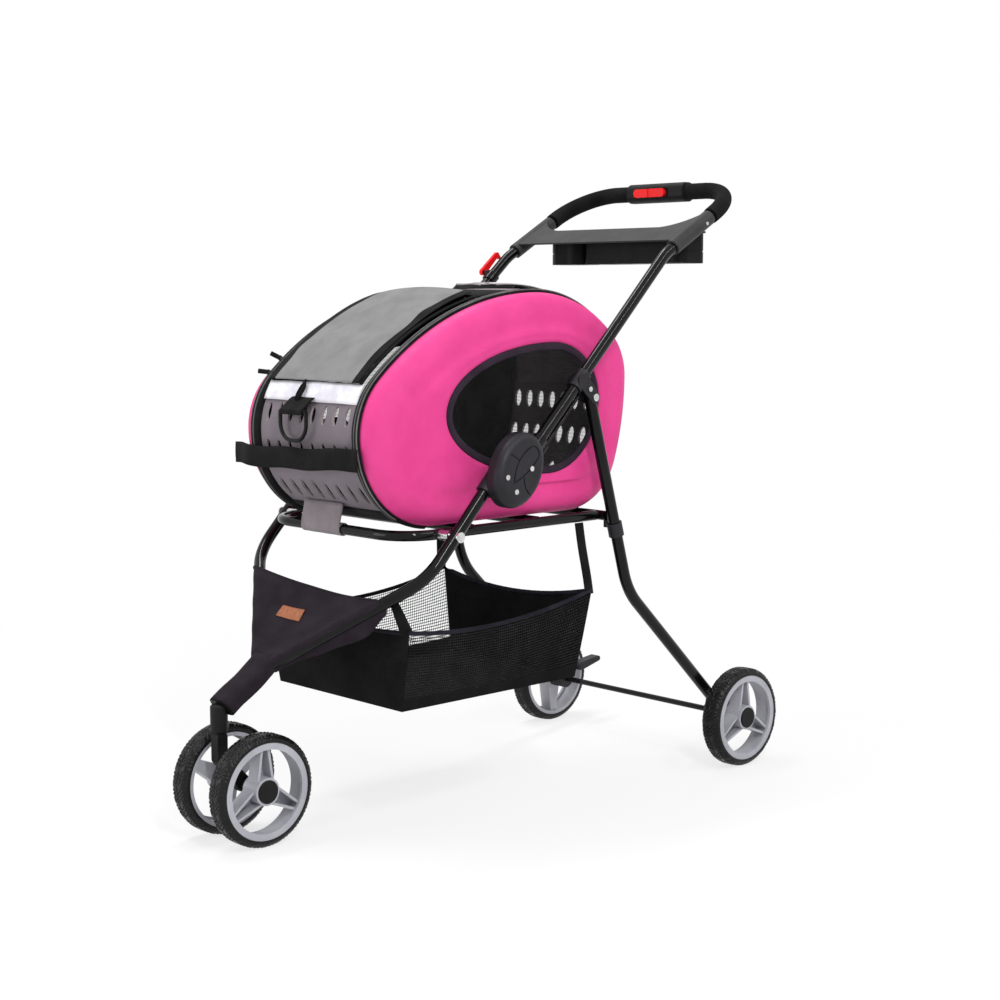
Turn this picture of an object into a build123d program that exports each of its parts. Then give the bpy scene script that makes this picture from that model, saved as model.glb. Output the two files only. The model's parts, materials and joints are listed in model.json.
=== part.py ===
from build123d import *
from math import atan2, cos, degrees, radians, sin, sqrt, tan
import os

os.makedirs("parts", exist_ok=True)

# A folding three-wheel pet stroller with a removable moulded carrier, in millimetres.
# +Z is up, the front faces -Y, +X is the stroller's left side, the floor is Z = 0.
# A point in the side view is written (Y, Z).

# Clearances
seat_gap = 0.02        # between pieces that are fixed to each other
running_gap = 0.05     # radial, between a pin and what turns on it
side_gap = 0.3         # between bodies that pass each other, and beside soft pieces
cut_over = 1.0         # how far a cut runs past the face that it leaves by

# Wheels
wheel_radius = 85.0
wheel_base = 880.0
tyre_width = 36.0
tyre_thickness = 12.0
tyre_shoulder = 10.0
rim_wall = 6.0
rim_inset = 1.0        # the rim's faces inside the tyre's
rim_lip_depth = 10.0
rim_lip_width = 5.0
hub_radius = 21.0
hub_length = 34.0
axle_radius = 5.0
axle_inset = 1.5       # how far an axle's end stays inside the hub's outer face
spoke_count = 3
spoke_hub_width = 30.0
spoke_rim_width = 14.0
spoke_rib = 4.0
spoke_depth = 24.0
spoke_web = 4.0
spoke_root = 7.0       # how far a spoke starts inside the hub
spoke_end = 1.0        # how far it ends inside the rim's wall
cap_radius = 17.5
cap_thickness = 2.5
cap_chamfer = 1.0
front_wheel_x = 47.0
rear_wheel_offset = 34.0     # from the rear leg's axis out to the middle of its wheel

# Frame tubes
tube_radius = 9.5
tube_wall = 1.5
frame_half_width = 208.0     # axis of the legs, and of the push tubes at the fold pivot
push_lean = 20.0             # how far the push tubes come in between the pivot and the tray
fold_pivot = (-76.0, 538.0)
brace_pivot = (96.0, 650.0)
push_bend = (285.0, 877.0)
push_bend_radius = 90.0
handle_tilt = 30.0           # rise of the handle behind the bend, degrees
push_upper_length = 120.0    # from the bend to where the handle bar starts
push_stub = 14.0             # tube below the fold pivot
leg_top = (-98.0, 562.0)
leg_bend = (-252.0, 397.0)
leg_bend_radius = 90.0
leg_merge = (-402.0, 256.0)
leg_merge_radius = 40.0
leg_end = (-468.0, 212.0)
leg_merge_half_width = 11.0
rear_leg_bend = (187.0, 330.0)
rear_leg_bend_radius = 120.0
rear_leg_stub = 12.0
rear_leg_setback = 20.0      # from the rear axle to the end of the leg's tube

# Pins and rivets
pin_radius = 5.0
pin_head_radius = 8.0
pin_head = 3.0
pin_end_radius = 6.0
brace_pin_radius = 4.0
rivet_radius = 4.0
rivet_head = 2.5

# Fold pods, the covers of the two knee joints
pod_centre = (-94.0, 549.0)
pod_long_radius = 60.0
pod_short_radius = 46.0
pod_turn = 60.0
pod_thickness = 27.0
pod_dome = 14.0
pod_tube_gap = 1.5
pod_groove_width = 2.2
pod_groove_depth = 1.6
pod_loop_points = (          # along and across the pod's long axis; each arc's ends and middle
    ((-24.0, 8.0), (10.0, 15.0), (38.0, 4.0)),
    ((38.0, 4.0), (42.0, -8.0), (33.0, -18.0)),
    ((33.0, -18.0), (5.0, -10.0), (-24.0, 8.0)),
)
pod_split_points = (((8.0, pod_short_radius), (10.0, 30.0), (9.0, 14.0)),)
pod_foot_points = (((-8.0, -6.0), (-20.0, -16.0), (-24.0, -pod_short_radius)),)
socket_wall = 3.5
socket_length = 62.0
pod_rivet_offsets = ((-33.0, -8.0), (17.0, 2.0), (-15.0, -31.0))

# Brace brackets and lock rods on the push tubes
bracket_length = 34.0
bracket_wall = 2.8
bracket_plate = 2.5
bracket_lobe = 10.0
cheek_gap = 0.5              # between a cheek and the rear leg
brace_head_radius = 6.0
bracket_rivet_share = 0.52   # along the line from the brace pivot to the tube
collar_distance = 58.0       # along the push tube from the fold pivot
collar_length = 20.0
collar_wall = 2.8
lock_rod_radius = 3.0
lock_rod_offset = 16.0
lock_rod_lug = 6.0

# Platform
platform_z = 455.0
platform_tube_radius = 8.0
platform_inset = 40.0        # from the legs' axis in to the ring's
platform_front_y = -265.0
platform_corner = 60.0
platform_bar_ys = (-120.0, 20.0)
platform_end_gap = 0.2
rear_bar_gap = 4.0           # between the rear bar's end and the rear leg
saddle_start = 3.0
saddle_reach = 12.0
saddle_overlap = 10.0        # of the seat under the rear bar's end
saddle_depth = 24.0
saddle_wall = 3.0
saddle_sleeve_step = 2.0     # the sleeve ends this far below the seat
strap_x = (-67.0, 28.0)
strap_thickness = 2.2
strap_top_z = 492.0

# Caster
swivel_y = -480.0
swivel_radius = 7.0
barrel_radius = 13.0
barrel_bottom_z = 172.0
barrel_height = 40.0
barrel_cap = 6.0
barrel_round = 4.0
swivel_end_gap = 1.0
leg_block_width = 45.0
leg_block_height = 23.0
leg_block_length = 30.0
leg_block_corner = 6.0
leg_block_setback = 9.0     # of the block's foot, past the ends of the legs
fork_half_width = 8.5
fork_radius = 9.0
fork_knee_z = 130.0
fork_axle_radius = 12.0
fork_boss_radius = 10.0

# Rear knuckles and brakes
knuckle_radius = 17.0
knuckle_half_length = 13.0
knuckle_socket = 26.0        # how far the leg's end goes into the knuckle
brake_offset = (20.0, 24.0)
brake_pin_radius = 4.0
brake_lug_radius = 9.0
brake_hub_radius = 8.0
brake_tip_offset = (46.0, 9.0)
brake_tip_radius = 5.0
brake_width = 21.0
brake_round = 1.5

# Handle
handle_reach = 108.0         # from the grips' lower ends to the middle of the handle, along its slope
handle_corner = 85.0
grip_radius = 14.0
grip_lower_offset = 12.0
box_half_length = 66.0
box_height = 34.0
box_depth = 34.0
box_corner = 12.0
box_end_round = 3.0
button_x = (-46.0, 26.0)
button_height = 15.0
button_depth = 7.0
button_proud = 3.0
button_travel = 8.0
button_end_radius = 7.0
button_notch = 6.0           # width of the step between its two lobes
button_notch_left = 1.0      # how far the step stays proud of the box
pocket_gap = 0.4

# Tray: a sloping fascia between the push tubes, with the wells behind it
clamp_wall = 3.5
clamp_start = 22.0           # along the upper push tube, from its bend
clamp_end = 126.0
clamp_screw = 104.0
screw_radius = 3.0
fascia_low = 30.0            # its lower edge, and its upper edge in the middle, up the same slope
fascia_high = 76.0
fascia_end = 122.0           # where its upper edge meets the clamps
fascia_inset = 3.0           # of its ends from the push tubes' axes
fascia_curve = 64.0          # length in X of the curve at each end
fascia_curve_middle = (25.0, 17.0)   # the curve's middle: in from its outer end, and up from its foot
fascia_lift = 8.0            # above the push tubes' axes
fascia_thickness = 3.0
tray_rim_z = 918.0
tray_rim_thickness = 3.0
tray_rim_front_y = 336.0
tray_rim_margin = 4.0        # round the wells
tray_rim_corner = 24.0
tray_wall = 2.5
tray_bottom_z = 864.0
well_y = (348.0, 420.0)
cup_x = (-155.0, -69.0)
cup_corner = 32.0
well_x = (-65.0, 166.0)
well_corner = 20.0
well_groove_z = 883.0
well_groove_height = 2.0
well_groove_depth = 1.0

# Storage latch on the right push tube
latch_point = (246.0, 846.0)
latch_length = 46.0
latch_radius = 6.0
latch_tip_radius = 4.0
latch_hook_drop = 8.0
latch_hook_radius = 2.5
clip_half_length = 8.0
latch_thickness = 6.0
latch_pin_radius = 3.0
latch_pin_end = 1.0          # how far the pin stands past the latch
latch_lift = 7.0

# Carrier
belt_half_width = 132.0
carrier_half_width = 171.0
carrier_floor_z = platform_z + platform_tube_radius + side_gap
carrier_front = (-317.0, 603.0)
carrier_top = (42.0, 815.0)
carrier_rear = (233.0, 680.0)
carrier_rear_low = (208.0, 535.0)
roof_slope = 43.6            # where the nose's arc meets the roof's, degrees
rear_split = 45.0            # where the crown's arc meets the back's, degrees
belt_proud = 6.0             # how far the belt stands out of the shells
belt_wall = 6.0              # of the belt inside the shells' outline
plate_recess = 8.0           # of the plates' faces inside the belt's
plate_wall = 4.0
roof_wall = 3.0
shell_wall = 5.0
shell_round = 36.0
window_left_y = -178.0
window_right_y = 149.0
window_top = (47.0, 736.0)
window_bottom = (37.0, 532.0)
window_left_z = 630.0
window_right_z = 645.0
window_thickness = 2.0
panel_half_width = 113.0
plate_z = (486.0, 660.0)
front_plate_limit = -200.0   # the plates lie beyond these in Y
rear_plate_limit = 120.0
roof_front_z = 682.0
roof_rear_y = -63.0
flap_thickness = 2.0
flap_half_width = 116.0
flap_overlap = 10.0
flap_front_step = 2.0        # the flap's front edge above the roof panel's
slot_columns = 8
slot_pitch_x = 27.5
slot_row_zs = (515.0, 575.0, 632.0)
front_slot_half_width = 5.8
rear_slot_half_width = 7.5
slot_half_height = 14.5
floor_half_width = 108.0
floor_thickness = 5.0
strap_band_z = (545.0, 577.0)
strap_band_reach = 3.0       # of the strap's ends past the belt
strap_band_thickness = 2.2
ring_x = -15.0
ring_z = 636.0
ring_width = 70.0
ring_height = 44.0
ring_wire = 3.0
ring_corner = 26.0
ring_tab_width = 54.0
ring_tab_top_z = 664.0
ring_tab_thickness = 2.5
ring_tab_depth = 7.0

# Apron and basket
apron_thickness = 3.0
apron_low = 14.0             # along the slope from where the legs meet
apron_high = 165.0
basket_bottom_z = 190.0
basket_top_z = 318.0
basket_bottom_half = 150.0
basket_top_half = 172.0
basket_bottom_y = (-255.0, 112.0)
basket_top_y = (-262.0, 122.0)
basket_corner = 24.0
basket_wall = 3.0
basket_strap_width = 18.0
basket_strap_thickness = 2.0
rear_strap_y = 104.0
hanger_inset = (6.0, 4.0)    # of its foot, in from the basket's rim in X and Y
hanger_drop = 10.0           # of its upper end, down the slope from the legs' bend
hanger_end_gap = 6.0         # between that end and the leg

# Worked out from the sizes above
handle_half_width = frame_half_width - push_lean
platform_half_width = frame_half_width - platform_inset
front_axle = (-wheel_base / 2, wheel_radius)
rear_axle = (wheel_base / 2, wheel_radius)
leg_slope = (leg_top[1] - leg_bend[1]) / (leg_top[0] - leg_bend[0])
platform_pivot = (leg_bend[0] + (platform_z - leg_bend[1]) / leg_slope, platform_z)
rear_leg_slope = (rear_leg_bend[0] - brace_pivot[0]) / (rear_leg_bend[1] - brace_pivot[1])
platform_rear = (brace_pivot[0] + (platform_z - brace_pivot[1]) * rear_leg_slope, platform_z)
pivot_point = Vector(frame_half_width, *fold_pivot)
bend_point = Vector(handle_half_width, *push_bend)
push_direction = (bend_point - pivot_point).normalized()
rise = Vector(0, cos(radians(handle_tilt)), sin(radians(handle_tilt)))
push_end = bend_point + rise * push_upper_length
brace_offset = Vector(0, brace_pivot[0] - fold_pivot[0], brace_pivot[1] - fold_pivot[1])
side_direction = Vector(0, push_direction.Y, push_direction.Z)
bracket_distance = brace_offset.dot(side_direction) / side_direction.dot(side_direction)
bracket_point = pivot_point + push_direction * bracket_distance
rear_leg_x = bracket_point.X
rear_wheel_x = rear_leg_x + rear_wheel_offset
rear_bar_half_length = rear_leg_x - tube_radius - rear_bar_gap
rim_radius = wheel_radius - tyre_thickness
strap_band_half = belt_half_width + strap_band_reach
ring_inner_x = platform_half_width - platform_tube_radius
ring_outer_x = platform_half_width + platform_tube_radius
leg_inner_x = frame_half_width - tube_radius
leg_outer_x = frame_half_width + tube_radius


# Helpers
def save(piece, name):
    piece.part.label = name
    export_step(piece.part, f"parts/{name}.step")


def save_pair(piece, name):
    """Write a left-hand piece and its mirror image on the right."""
    save(piece, f"{name}_left")
    with BuildPart() as twin:
        mirror(piece.part, about=Plane.YZ)
    save(twin, f"{name}_right")


def cross_rod(point, x_from, x_to, radius, mode=Mode.ADD):
    """A round bar along X at a side-view point."""
    with BuildSketch(Plane.YZ.offset(x_from)) as section:
        with Locations(point):
            Circle(radius)
    extrude(section.sketch, amount=x_to - x_from, mode=mode)


def rod(start, end, radius, mode=Mode.ADD):
    """A round bar between two points in space."""
    run = end - start
    with BuildSketch(Plane(origin=start, z_dir=run)) as section:
        Circle(radius)
    extrude(section.sketch, amount=run.length, mode=mode)


def side_link(x_from, x_to, circles, mode=Mode.ADD):
    """A plate in the side view whose outline wraps round (Y, Z, radius) circles, from x_from to x_to."""
    with BuildSketch(Plane.YZ.offset(x_from)) as section:
        for y, z, radius in circles:
            with Locations((y, z)):
                Circle(radius)
        make_hull(section.edges())
    extrude(section.sketch, amount=x_to - x_from, mode=mode)


def block(x_range, y_range, z_range, mode=Mode.ADD):
    """A plain block between three pairs of limits."""
    centre = tuple(sum(limits) / 2 for limits in (x_range, y_range, z_range))
    with Locations(centre):
        Box(x_range[1] - x_range[0], y_range[1] - y_range[0], z_range[1] - z_range[0], mode=mode)


def swept_tube(points, radii, radius=tube_radius, wall=tube_wall):
    """A bent tube along straight runs joined by tangent arcs."""
    with BuildPart() as tube:
        with BuildLine() as path:
            FilletPolyline(*points, radius=radii)
        with BuildSketch(Plane(origin=path.line @ 0, z_dir=path.line % 0)):
            Circle(radius)
            Circle(radius - wall, mode=Mode.SUBTRACT)
        sweep()
    return tube


# Wheels
def make_wheel(x, axle, name):
    """Tyre, rim and hub cap, with the outer face away from the middle of the stroller."""
    outward = 1 if x > 0 else -1
    plane = Plane(origin=(x, *axle), x_dir=(0, 1, 0), z_dir=(outward, 0, 0))
    half = tyre_width / 2

    with BuildPart() as tyre:
        with BuildSketch(plane.offset(-half)):
            Circle(wheel_radius)
            Circle(rim_radius + seat_gap, mode=Mode.SUBTRACT)
        extrude(amount=tyre_width)
        treads = tyre.edges().filter_by(GeomType.CIRCLE).filter_by(lambda e: e.radius > rim_radius + rim_inset)
        fillet(treads, radius=tyre_shoulder)
    save(tyre, f"{name}_tyre")

    rim_half = half - rim_inset
    inner_radius = rim_radius - rim_wall
    with BuildPart() as rim:
        with BuildSketch(plane.offset(-rim_half)):
            Circle(rim_radius)
            Circle(inner_radius, mode=Mode.SUBTRACT)
        extrude(amount=2 * rim_half)
        with BuildSketch(plane.offset(rim_half - rim_lip_width)):
            Circle(rim_radius)
            Circle(rim_radius - rim_lip_depth, mode=Mode.SUBTRACT)
        extrude(amount=rim_lip_width)
        with BuildSketch(plane.offset(-hub_length / 2)):
            Circle(hub_radius)
        extrude(amount=hub_length)
        with BuildSketch(plane.offset(-spoke_depth / 2)):
            with PolarLocations(0, spoke_count, start_angle=90):
                spoke_outline(inner_radius)
        extrude(amount=spoke_web)
        with BuildSketch(plane.offset(-spoke_depth / 2)):
            with PolarLocations(0, spoke_count, start_angle=90):
                spoke_outline(inner_radius)
                spoke_outline(inner_radius, inset=spoke_rib, mode=Mode.SUBTRACT)
        extrude(amount=spoke_depth)
        with BuildSketch(plane.offset(-hub_length / 2)):
            Circle(axle_radius + running_gap)
        extrude(amount=hub_length, mode=Mode.SUBTRACT)
    save(rim, f"{name}_rim")

    with BuildPart() as cap:
        with BuildSketch(plane.offset(hub_length / 2 + seat_gap)):
            Circle(cap_radius)
        extrude(amount=cap_thickness)
        chamfer(cap.faces().sort_by(Axis.X)[-1 if outward > 0 else 0].edges(), length=cap_chamfer)
    save(cap, f"{name}_cap")


def spoke_outline(reach, inset=0.0, mode=Mode.ADD):
    """One tapered spoke along local X, from inside the hub to inside the rim's wall."""
    root = spoke_hub_width / 2 - inset
    tip = spoke_rim_width / 2 - inset
    start = hub_radius - spoke_root
    end = reach + spoke_end
    Polygon((start, -root), (end, -tip), (end, tip), (start, root), align=None, mode=mode)


for side_name, side in (("left", 1), ("right", -1)):
    make_wheel(side * front_wheel_x, front_axle, f"front_{side_name}")
    make_wheel(side * rear_wheel_x, rear_axle, f"rear_{side_name}")

# Front legs: down from the pod, round the bend, and in to the stem
leg_points = (
    (frame_half_width, *leg_top),
    (frame_half_width, *leg_bend),
    (leg_merge_half_width, *leg_merge),
    (leg_merge_half_width, *leg_end),
)
front_leg = swept_tube(leg_points, (leg_bend_radius, leg_merge_radius))
with BuildPart() as drilled_leg:
    add(front_leg.part)
    cross_rod(platform_pivot, frame_half_width - 2 * tube_radius, frame_half_width + 2 * tube_radius,
              pin_radius + running_gap, mode=Mode.SUBTRACT)
save_pair(drilled_leg, "front_leg")

# Caster housing: swivel barrel and the block that takes both legs' ends
stem = (Vector(0, *leg_merge) - Vector(0, *leg_end)).normalized()
block_start = Vector(0, *leg_end) - stem * leg_block_setback
with BuildPart() as caster_housing:
    with BuildSketch(Plane.XY.offset(barrel_bottom_z)):
        with Locations((0, swivel_y)):
            Circle(barrel_radius)
    extrude(amount=barrel_height)
    fillet(caster_housing.faces().sort_by(Axis.Z)[-1].edges(), radius=barrel_round)
    with BuildSketch(Plane(origin=block_start, x_dir=(1, 0, 0), z_dir=stem)):
        RectangleRounded(leg_block_width, leg_block_height, leg_block_corner)
    extrude(amount=leg_block_length)
    for x in (-leg_merge_half_width, leg_merge_half_width):
        foot = Vector(x, *leg_end)
        rod(foot, foot + stem * leg_block_length, tube_radius + seat_gap, mode=Mode.SUBTRACT)
    with BuildSketch(Plane.XY.offset(barrel_bottom_z)):
        with Locations((0, swivel_y)):
            Circle(swivel_radius + running_gap)
    extrude(amount=barrel_height - barrel_cap, mode=Mode.SUBTRACT)
save(caster_housing, "caster_housing")

# Caster fork with its swivel stem, and the front axle
fork_top_z = barrel_bottom_z - side_gap
fork_knee = (swivel_y, fork_knee_z)
with BuildPart() as caster_fork:
    side_link(-fork_half_width, fork_half_width, (
        (swivel_y, fork_top_z - fork_radius, fork_radius), (*fork_knee, fork_radius)))
    side_link(-fork_half_width, fork_half_width, (
        (*fork_knee, fork_radius), (*front_axle, fork_axle_radius)))
    boss_half = front_wheel_x - hub_length / 2 - side_gap
    cross_rod(front_axle, -boss_half, boss_half, fork_boss_radius)
    cross_rod(front_axle, -boss_half, boss_half, axle_radius + seat_gap, mode=Mode.SUBTRACT)
    with BuildSketch(Plane.XY.offset(fork_top_z - fork_radius)):
        with Locations((0, swivel_y)):
            Circle(swivel_radius)
    extrude(amount=fork_radius + side_gap + barrel_height - barrel_cap - swivel_end_gap)
save(caster_fork, "caster_fork")

front_axle_half = front_wheel_x + hub_length / 2 - axle_inset
with BuildPart() as front_axle_rod:
    cross_rod(front_axle, -front_axle_half, front_axle_half, axle_radius)
save(front_axle_rod, "front_axle")

# Fold pods: an oval cover outboard of the tubes, with the socket of the front leg behind it
leg_direction = (Vector(0, *leg_top) - Vector(0, *leg_bend)).normalized()
leg_head = Vector(frame_half_width, *leg_top)
pod_inner_x = frame_half_width + tube_radius + pod_tube_gap
pod_outer_x = pod_inner_x + pod_thickness
pod_turn_cos = cos(radians(pod_turn))
pod_turn_sin = sin(radians(pod_turn))


def pod_point(along, across):
    """A side-view point given along and across the pod's long axis."""
    return (pod_centre[0] + along * pod_turn_cos - across * pod_turn_sin,
            pod_centre[1] + along * pod_turn_sin + across * pod_turn_cos)


def groove(arcs):
    """A shallow line in the pod's outer face, along arcs through the given points."""
    with BuildSketch(Plane.YZ.offset(pod_outer_x - pod_groove_depth)) as line:
        with BuildLine() as route:
            for arc in arcs:
                ThreePointArc(*(pod_point(along, across) for along, across in arc))
        trace(route.line, line_width=pod_groove_width)
    extrude(line.sketch, amount=pod_dome, mode=Mode.SUBTRACT)


rivet_points = [(pod_centre[0] + y, pod_centre[1] + z) for y, z in pod_rivet_offsets]
with BuildPart() as fold_pod:
    with BuildSketch(Plane.YZ.offset(pod_inner_x)):
        with Locations(pod_centre):
            Ellipse(pod_long_radius, pod_short_radius, rotation=pod_turn)
    extrude(amount=pod_thickness)
    fillet(fold_pod.faces().sort_by(Axis.X)[-1].edges(), radius=pod_dome)
    rod(leg_head + leg_direction * socket_wall, leg_head - leg_direction * socket_length,
        tube_radius + socket_wall)
    rod(leg_head, leg_head - leg_direction * 2 * socket_length, tube_radius + seat_gap, mode=Mode.SUBTRACT)
    cross_rod(fold_pivot, pod_inner_x, pod_inner_x + pin_radius * 2, pin_radius + seat_gap, mode=Mode.SUBTRACT)
    for rivet_point in rivet_points:
        cross_rod(rivet_point, pod_outer_x - rivet_head, pod_outer_x + rivet_head, rivet_radius + seat_gap,
                  mode=Mode.SUBTRACT)
    for arcs in (pod_loop_points, pod_split_points, pod_foot_points):
        groove(arcs)
save_pair(fold_pod, "fold_pod")


def rivet(point, x_seat):
    """A domed rivet head standing out of a face that looks along +X."""
    cross_rod(point, x_seat - rivet_head, x_seat + rivet_head / 2, rivet_radius)


with BuildPart() as pod_rivets:
    for rivet_point in rivet_points:
        rivet(rivet_point, pod_outer_x)
    cross_rod(fold_pivot, frame_half_width - tube_radius - side_gap - pin_head,
              frame_half_width - tube_radius - side_gap, pin_head_radius)
    cross_rod(fold_pivot, frame_half_width - tube_radius - side_gap, pod_inner_x + pin_radius * 2 - seat_gap,
              pin_radius)
    mirror(about=Plane.YZ)
save(pod_rivets, "pod_rivets")

# Push tubes
push_low = pivot_point - push_direction * push_stub
push_tube = swept_tube((push_low, bend_point, push_end), push_bend_radius)
with BuildPart() as drilled_push_tube:
    add(push_tube.part)
    cross_rod(fold_pivot, frame_half_width - 2 * tube_radius, frame_half_width + 2 * tube_radius,
              pin_radius + running_gap, mode=Mode.SUBTRACT)
save_pair(drilled_push_tube, "push_tube")

# Brace brackets: a sleeve on the push tube with two cheeks round the rear leg's head
bracket_half = bracket_length / 2
bracket_radius = tube_radius + bracket_wall
cheek_inner = tube_radius + cheek_gap
cheek_outline = (
    (bracket_point.Y, bracket_point.Z, bracket_radius),
    (*brace_pivot, bracket_lobe),
)
with BuildPart() as bracket:
    rod(bracket_point - push_direction * bracket_half, bracket_point + push_direction * bracket_half,
        bracket_radius)
    for face in (rear_leg_x - cheek_inner - bracket_plate, rear_leg_x + cheek_inner):
        side_link(face, face + bracket_plate, cheek_outline)
    rod(bracket_point - push_direction * bracket_length, bracket_point + push_direction * bracket_length,
        tube_radius + seat_gap, mode=Mode.SUBTRACT)
    cross_rod(brace_pivot, rear_leg_x - 3 * tube_radius, rear_leg_x + 3 * tube_radius,
              brace_pin_radius + seat_gap, mode=Mode.SUBTRACT)
save_pair(bracket, "bracket")

# Brace pins and rivet heads on the brackets, and the screws of the tray clamps
cheek_face = rear_leg_x + cheek_inner + bracket_plate
bracket_rivet = (
    brace_pivot[0] + (bracket_point.Y - brace_pivot[0]) * bracket_rivet_share,
    brace_pivot[1] + (bracket_point.Z - brace_pivot[1]) * bracket_rivet_share,
)
screw_point = bend_point + rise * clamp_screw
clamp_radius = tube_radius + clamp_wall
with BuildPart() as push_rivets:
    cross_rod(brace_pivot, rear_leg_x - cheek_inner - bracket_plate, cheek_face, brace_pin_radius)
    cross_rod(brace_pivot, cheek_face, cheek_face + rivet_head, brace_head_radius)
    cross_rod(bracket_rivet, cheek_face + seat_gap, cheek_face + rivet_head, rivet_radius)
    cross_rod((screw_point.Y, screw_point.Z), screw_point.X + clamp_radius - rivet_head,
              screw_point.X + clamp_radius + rivet_head / 2, screw_radius)
    mirror(about=Plane.YZ)
save(push_rivets, "push_rivets")

# Lock rods: a collar on each push tube above the pod, and a rod from it up to the bracket
below = Vector(0, push_direction.Z, -push_direction.Y).normalized()
collar_start = pivot_point + push_direction * collar_distance
collar_end = collar_start + push_direction * collar_length
rod_start = collar_end + below * lock_rod_offset
rod_end = bracket_point - push_direction * (bracket_half + seat_gap) + below * lock_rod_offset
with BuildPart() as lock_collar:
    rod(collar_start, collar_end, tube_radius + collar_wall)
    rod(collar_start + below * lock_rod_offset, rod_start, lock_rod_lug)
    rod(collar_start - push_direction, collar_end + push_direction, tube_radius + seat_gap, mode=Mode.SUBTRACT)
with BuildPart() as lock_rods:
    add(lock_collar.part)
    rod(rod_start + push_direction * seat_gap, rod_end, lock_rod_radius)
    mirror(about=Plane.YZ)

# Handle bar, its foam grips, and the box of the fold control
def handle_point(x, along):
    """A point of the handle's sloping plane: across the stroller, and up the slope from the push tubes."""
    return Vector(x, push_end.Y, push_end.Z) + rise * along


def handle_run(start_along, last_x, radius, bore):
    """The left half of the handle from a height on the slope, round the corner, to an X."""
    with BuildPart() as run:
        with BuildLine() as path:
            FilletPolyline(
                handle_point(handle_half_width, start_along),
                handle_point(handle_half_width, handle_reach),
                handle_point(last_x, handle_reach),
                radius=handle_corner)
        with BuildSketch(Plane(origin=path.line @ 0, z_dir=path.line % 0)):
            Circle(radius)
            Circle(bore, mode=Mode.SUBTRACT)
        sweep()
    return run


half_bar = handle_run(seat_gap, 0, tube_radius, tube_radius - tube_wall)
with BuildPart() as handle_bar:
    add(half_bar.part)
    mirror(about=Plane.YZ)
save(handle_bar, "handle_bar")

grip = handle_run(grip_lower_offset, box_half_length + seat_gap, grip_radius, tube_radius + seat_gap)
save_pair(grip, "grip")

box_centre = handle_point(0, handle_reach)
box_front_y = box_centre.Y - box_depth / 2
button_z = (box_centre.Z - button_height / 2, box_centre.Z + button_height / 2)
with BuildPart() as handle_box:
    with BuildSketch(Plane.YZ.offset(-box_half_length)):
        with Locations((box_centre.Y, box_centre.Z)):
            RectangleRounded(box_depth, box_height, box_corner)
    extrude(amount=2 * box_half_length)
    fillet(handle_box.faces().filter_by(Axis.X).edges(), radius=box_end_round)
    cross_rod((box_centre.Y, box_centre.Z), -box_half_length, box_half_length, tube_radius + seat_gap,
              mode=Mode.SUBTRACT)
    block((button_x[0] - pocket_gap, button_x[1] + button_travel + pocket_gap),
          (box_front_y - cut_over, box_front_y + button_depth + pocket_gap - button_proud),
          (button_z[0] - pocket_gap, button_z[1] + pocket_gap), mode=Mode.SUBTRACT)
save(handle_box, "handle_box")

button_middle = (button_x[0] + button_x[1]) / 2
with BuildPart() as fold_button:
    block(button_x, (box_front_y - button_proud, box_front_y - button_proud + button_depth), button_z)
    fillet(fold_button.edges().filter_by(Axis.Y), radius=button_end_radius)
    block((button_middle - button_notch / 2, button_middle + button_notch / 2),
          (box_front_y - button_proud, box_front_y - button_notch_left), button_z, mode=Mode.SUBTRACT)
save(fold_button, "fold_button")

# Tray: clamps on the push tubes, the fascia between them, and the rim with a cup well and a long well
slope_plane = Plane(origin=(0, *push_bend), x_dir=(1, 0, 0),
                    z_dir=(0, -sin(radians(handle_tilt)), cos(radians(handle_tilt))))
fascia_half = handle_half_width - fascia_inset
fascia_straight = fascia_half - fascia_curve
curve_point = (fascia_half - fascia_curve_middle[0], fascia_high + fascia_curve_middle[1])
wells = ((cup_x, cup_corner), (well_x, well_corner))
rim_x = (cup_x[0] - tray_rim_margin, well_x[1] + tray_rim_margin)
rim_y = (tray_rim_front_y, well_y[1] + tray_rim_margin)


def rounded_plan(x_range, y_range, corner):
    """A rounded rectangle in plan between limits."""
    with Locations((sum(x_range) / 2, sum(y_range) / 2)):
        RectangleRounded(x_range[1] - x_range[0], y_range[1] - y_range[0], corner)


def well_outlines(inset):
    """The plan view of the cup well and the long well, drawn in by an inset."""
    for (x_low, x_high), corner in wells:
        rounded_plan((x_low + inset, x_high - inset), (well_y[0] + inset, well_y[1] - inset), corner - inset)


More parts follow.
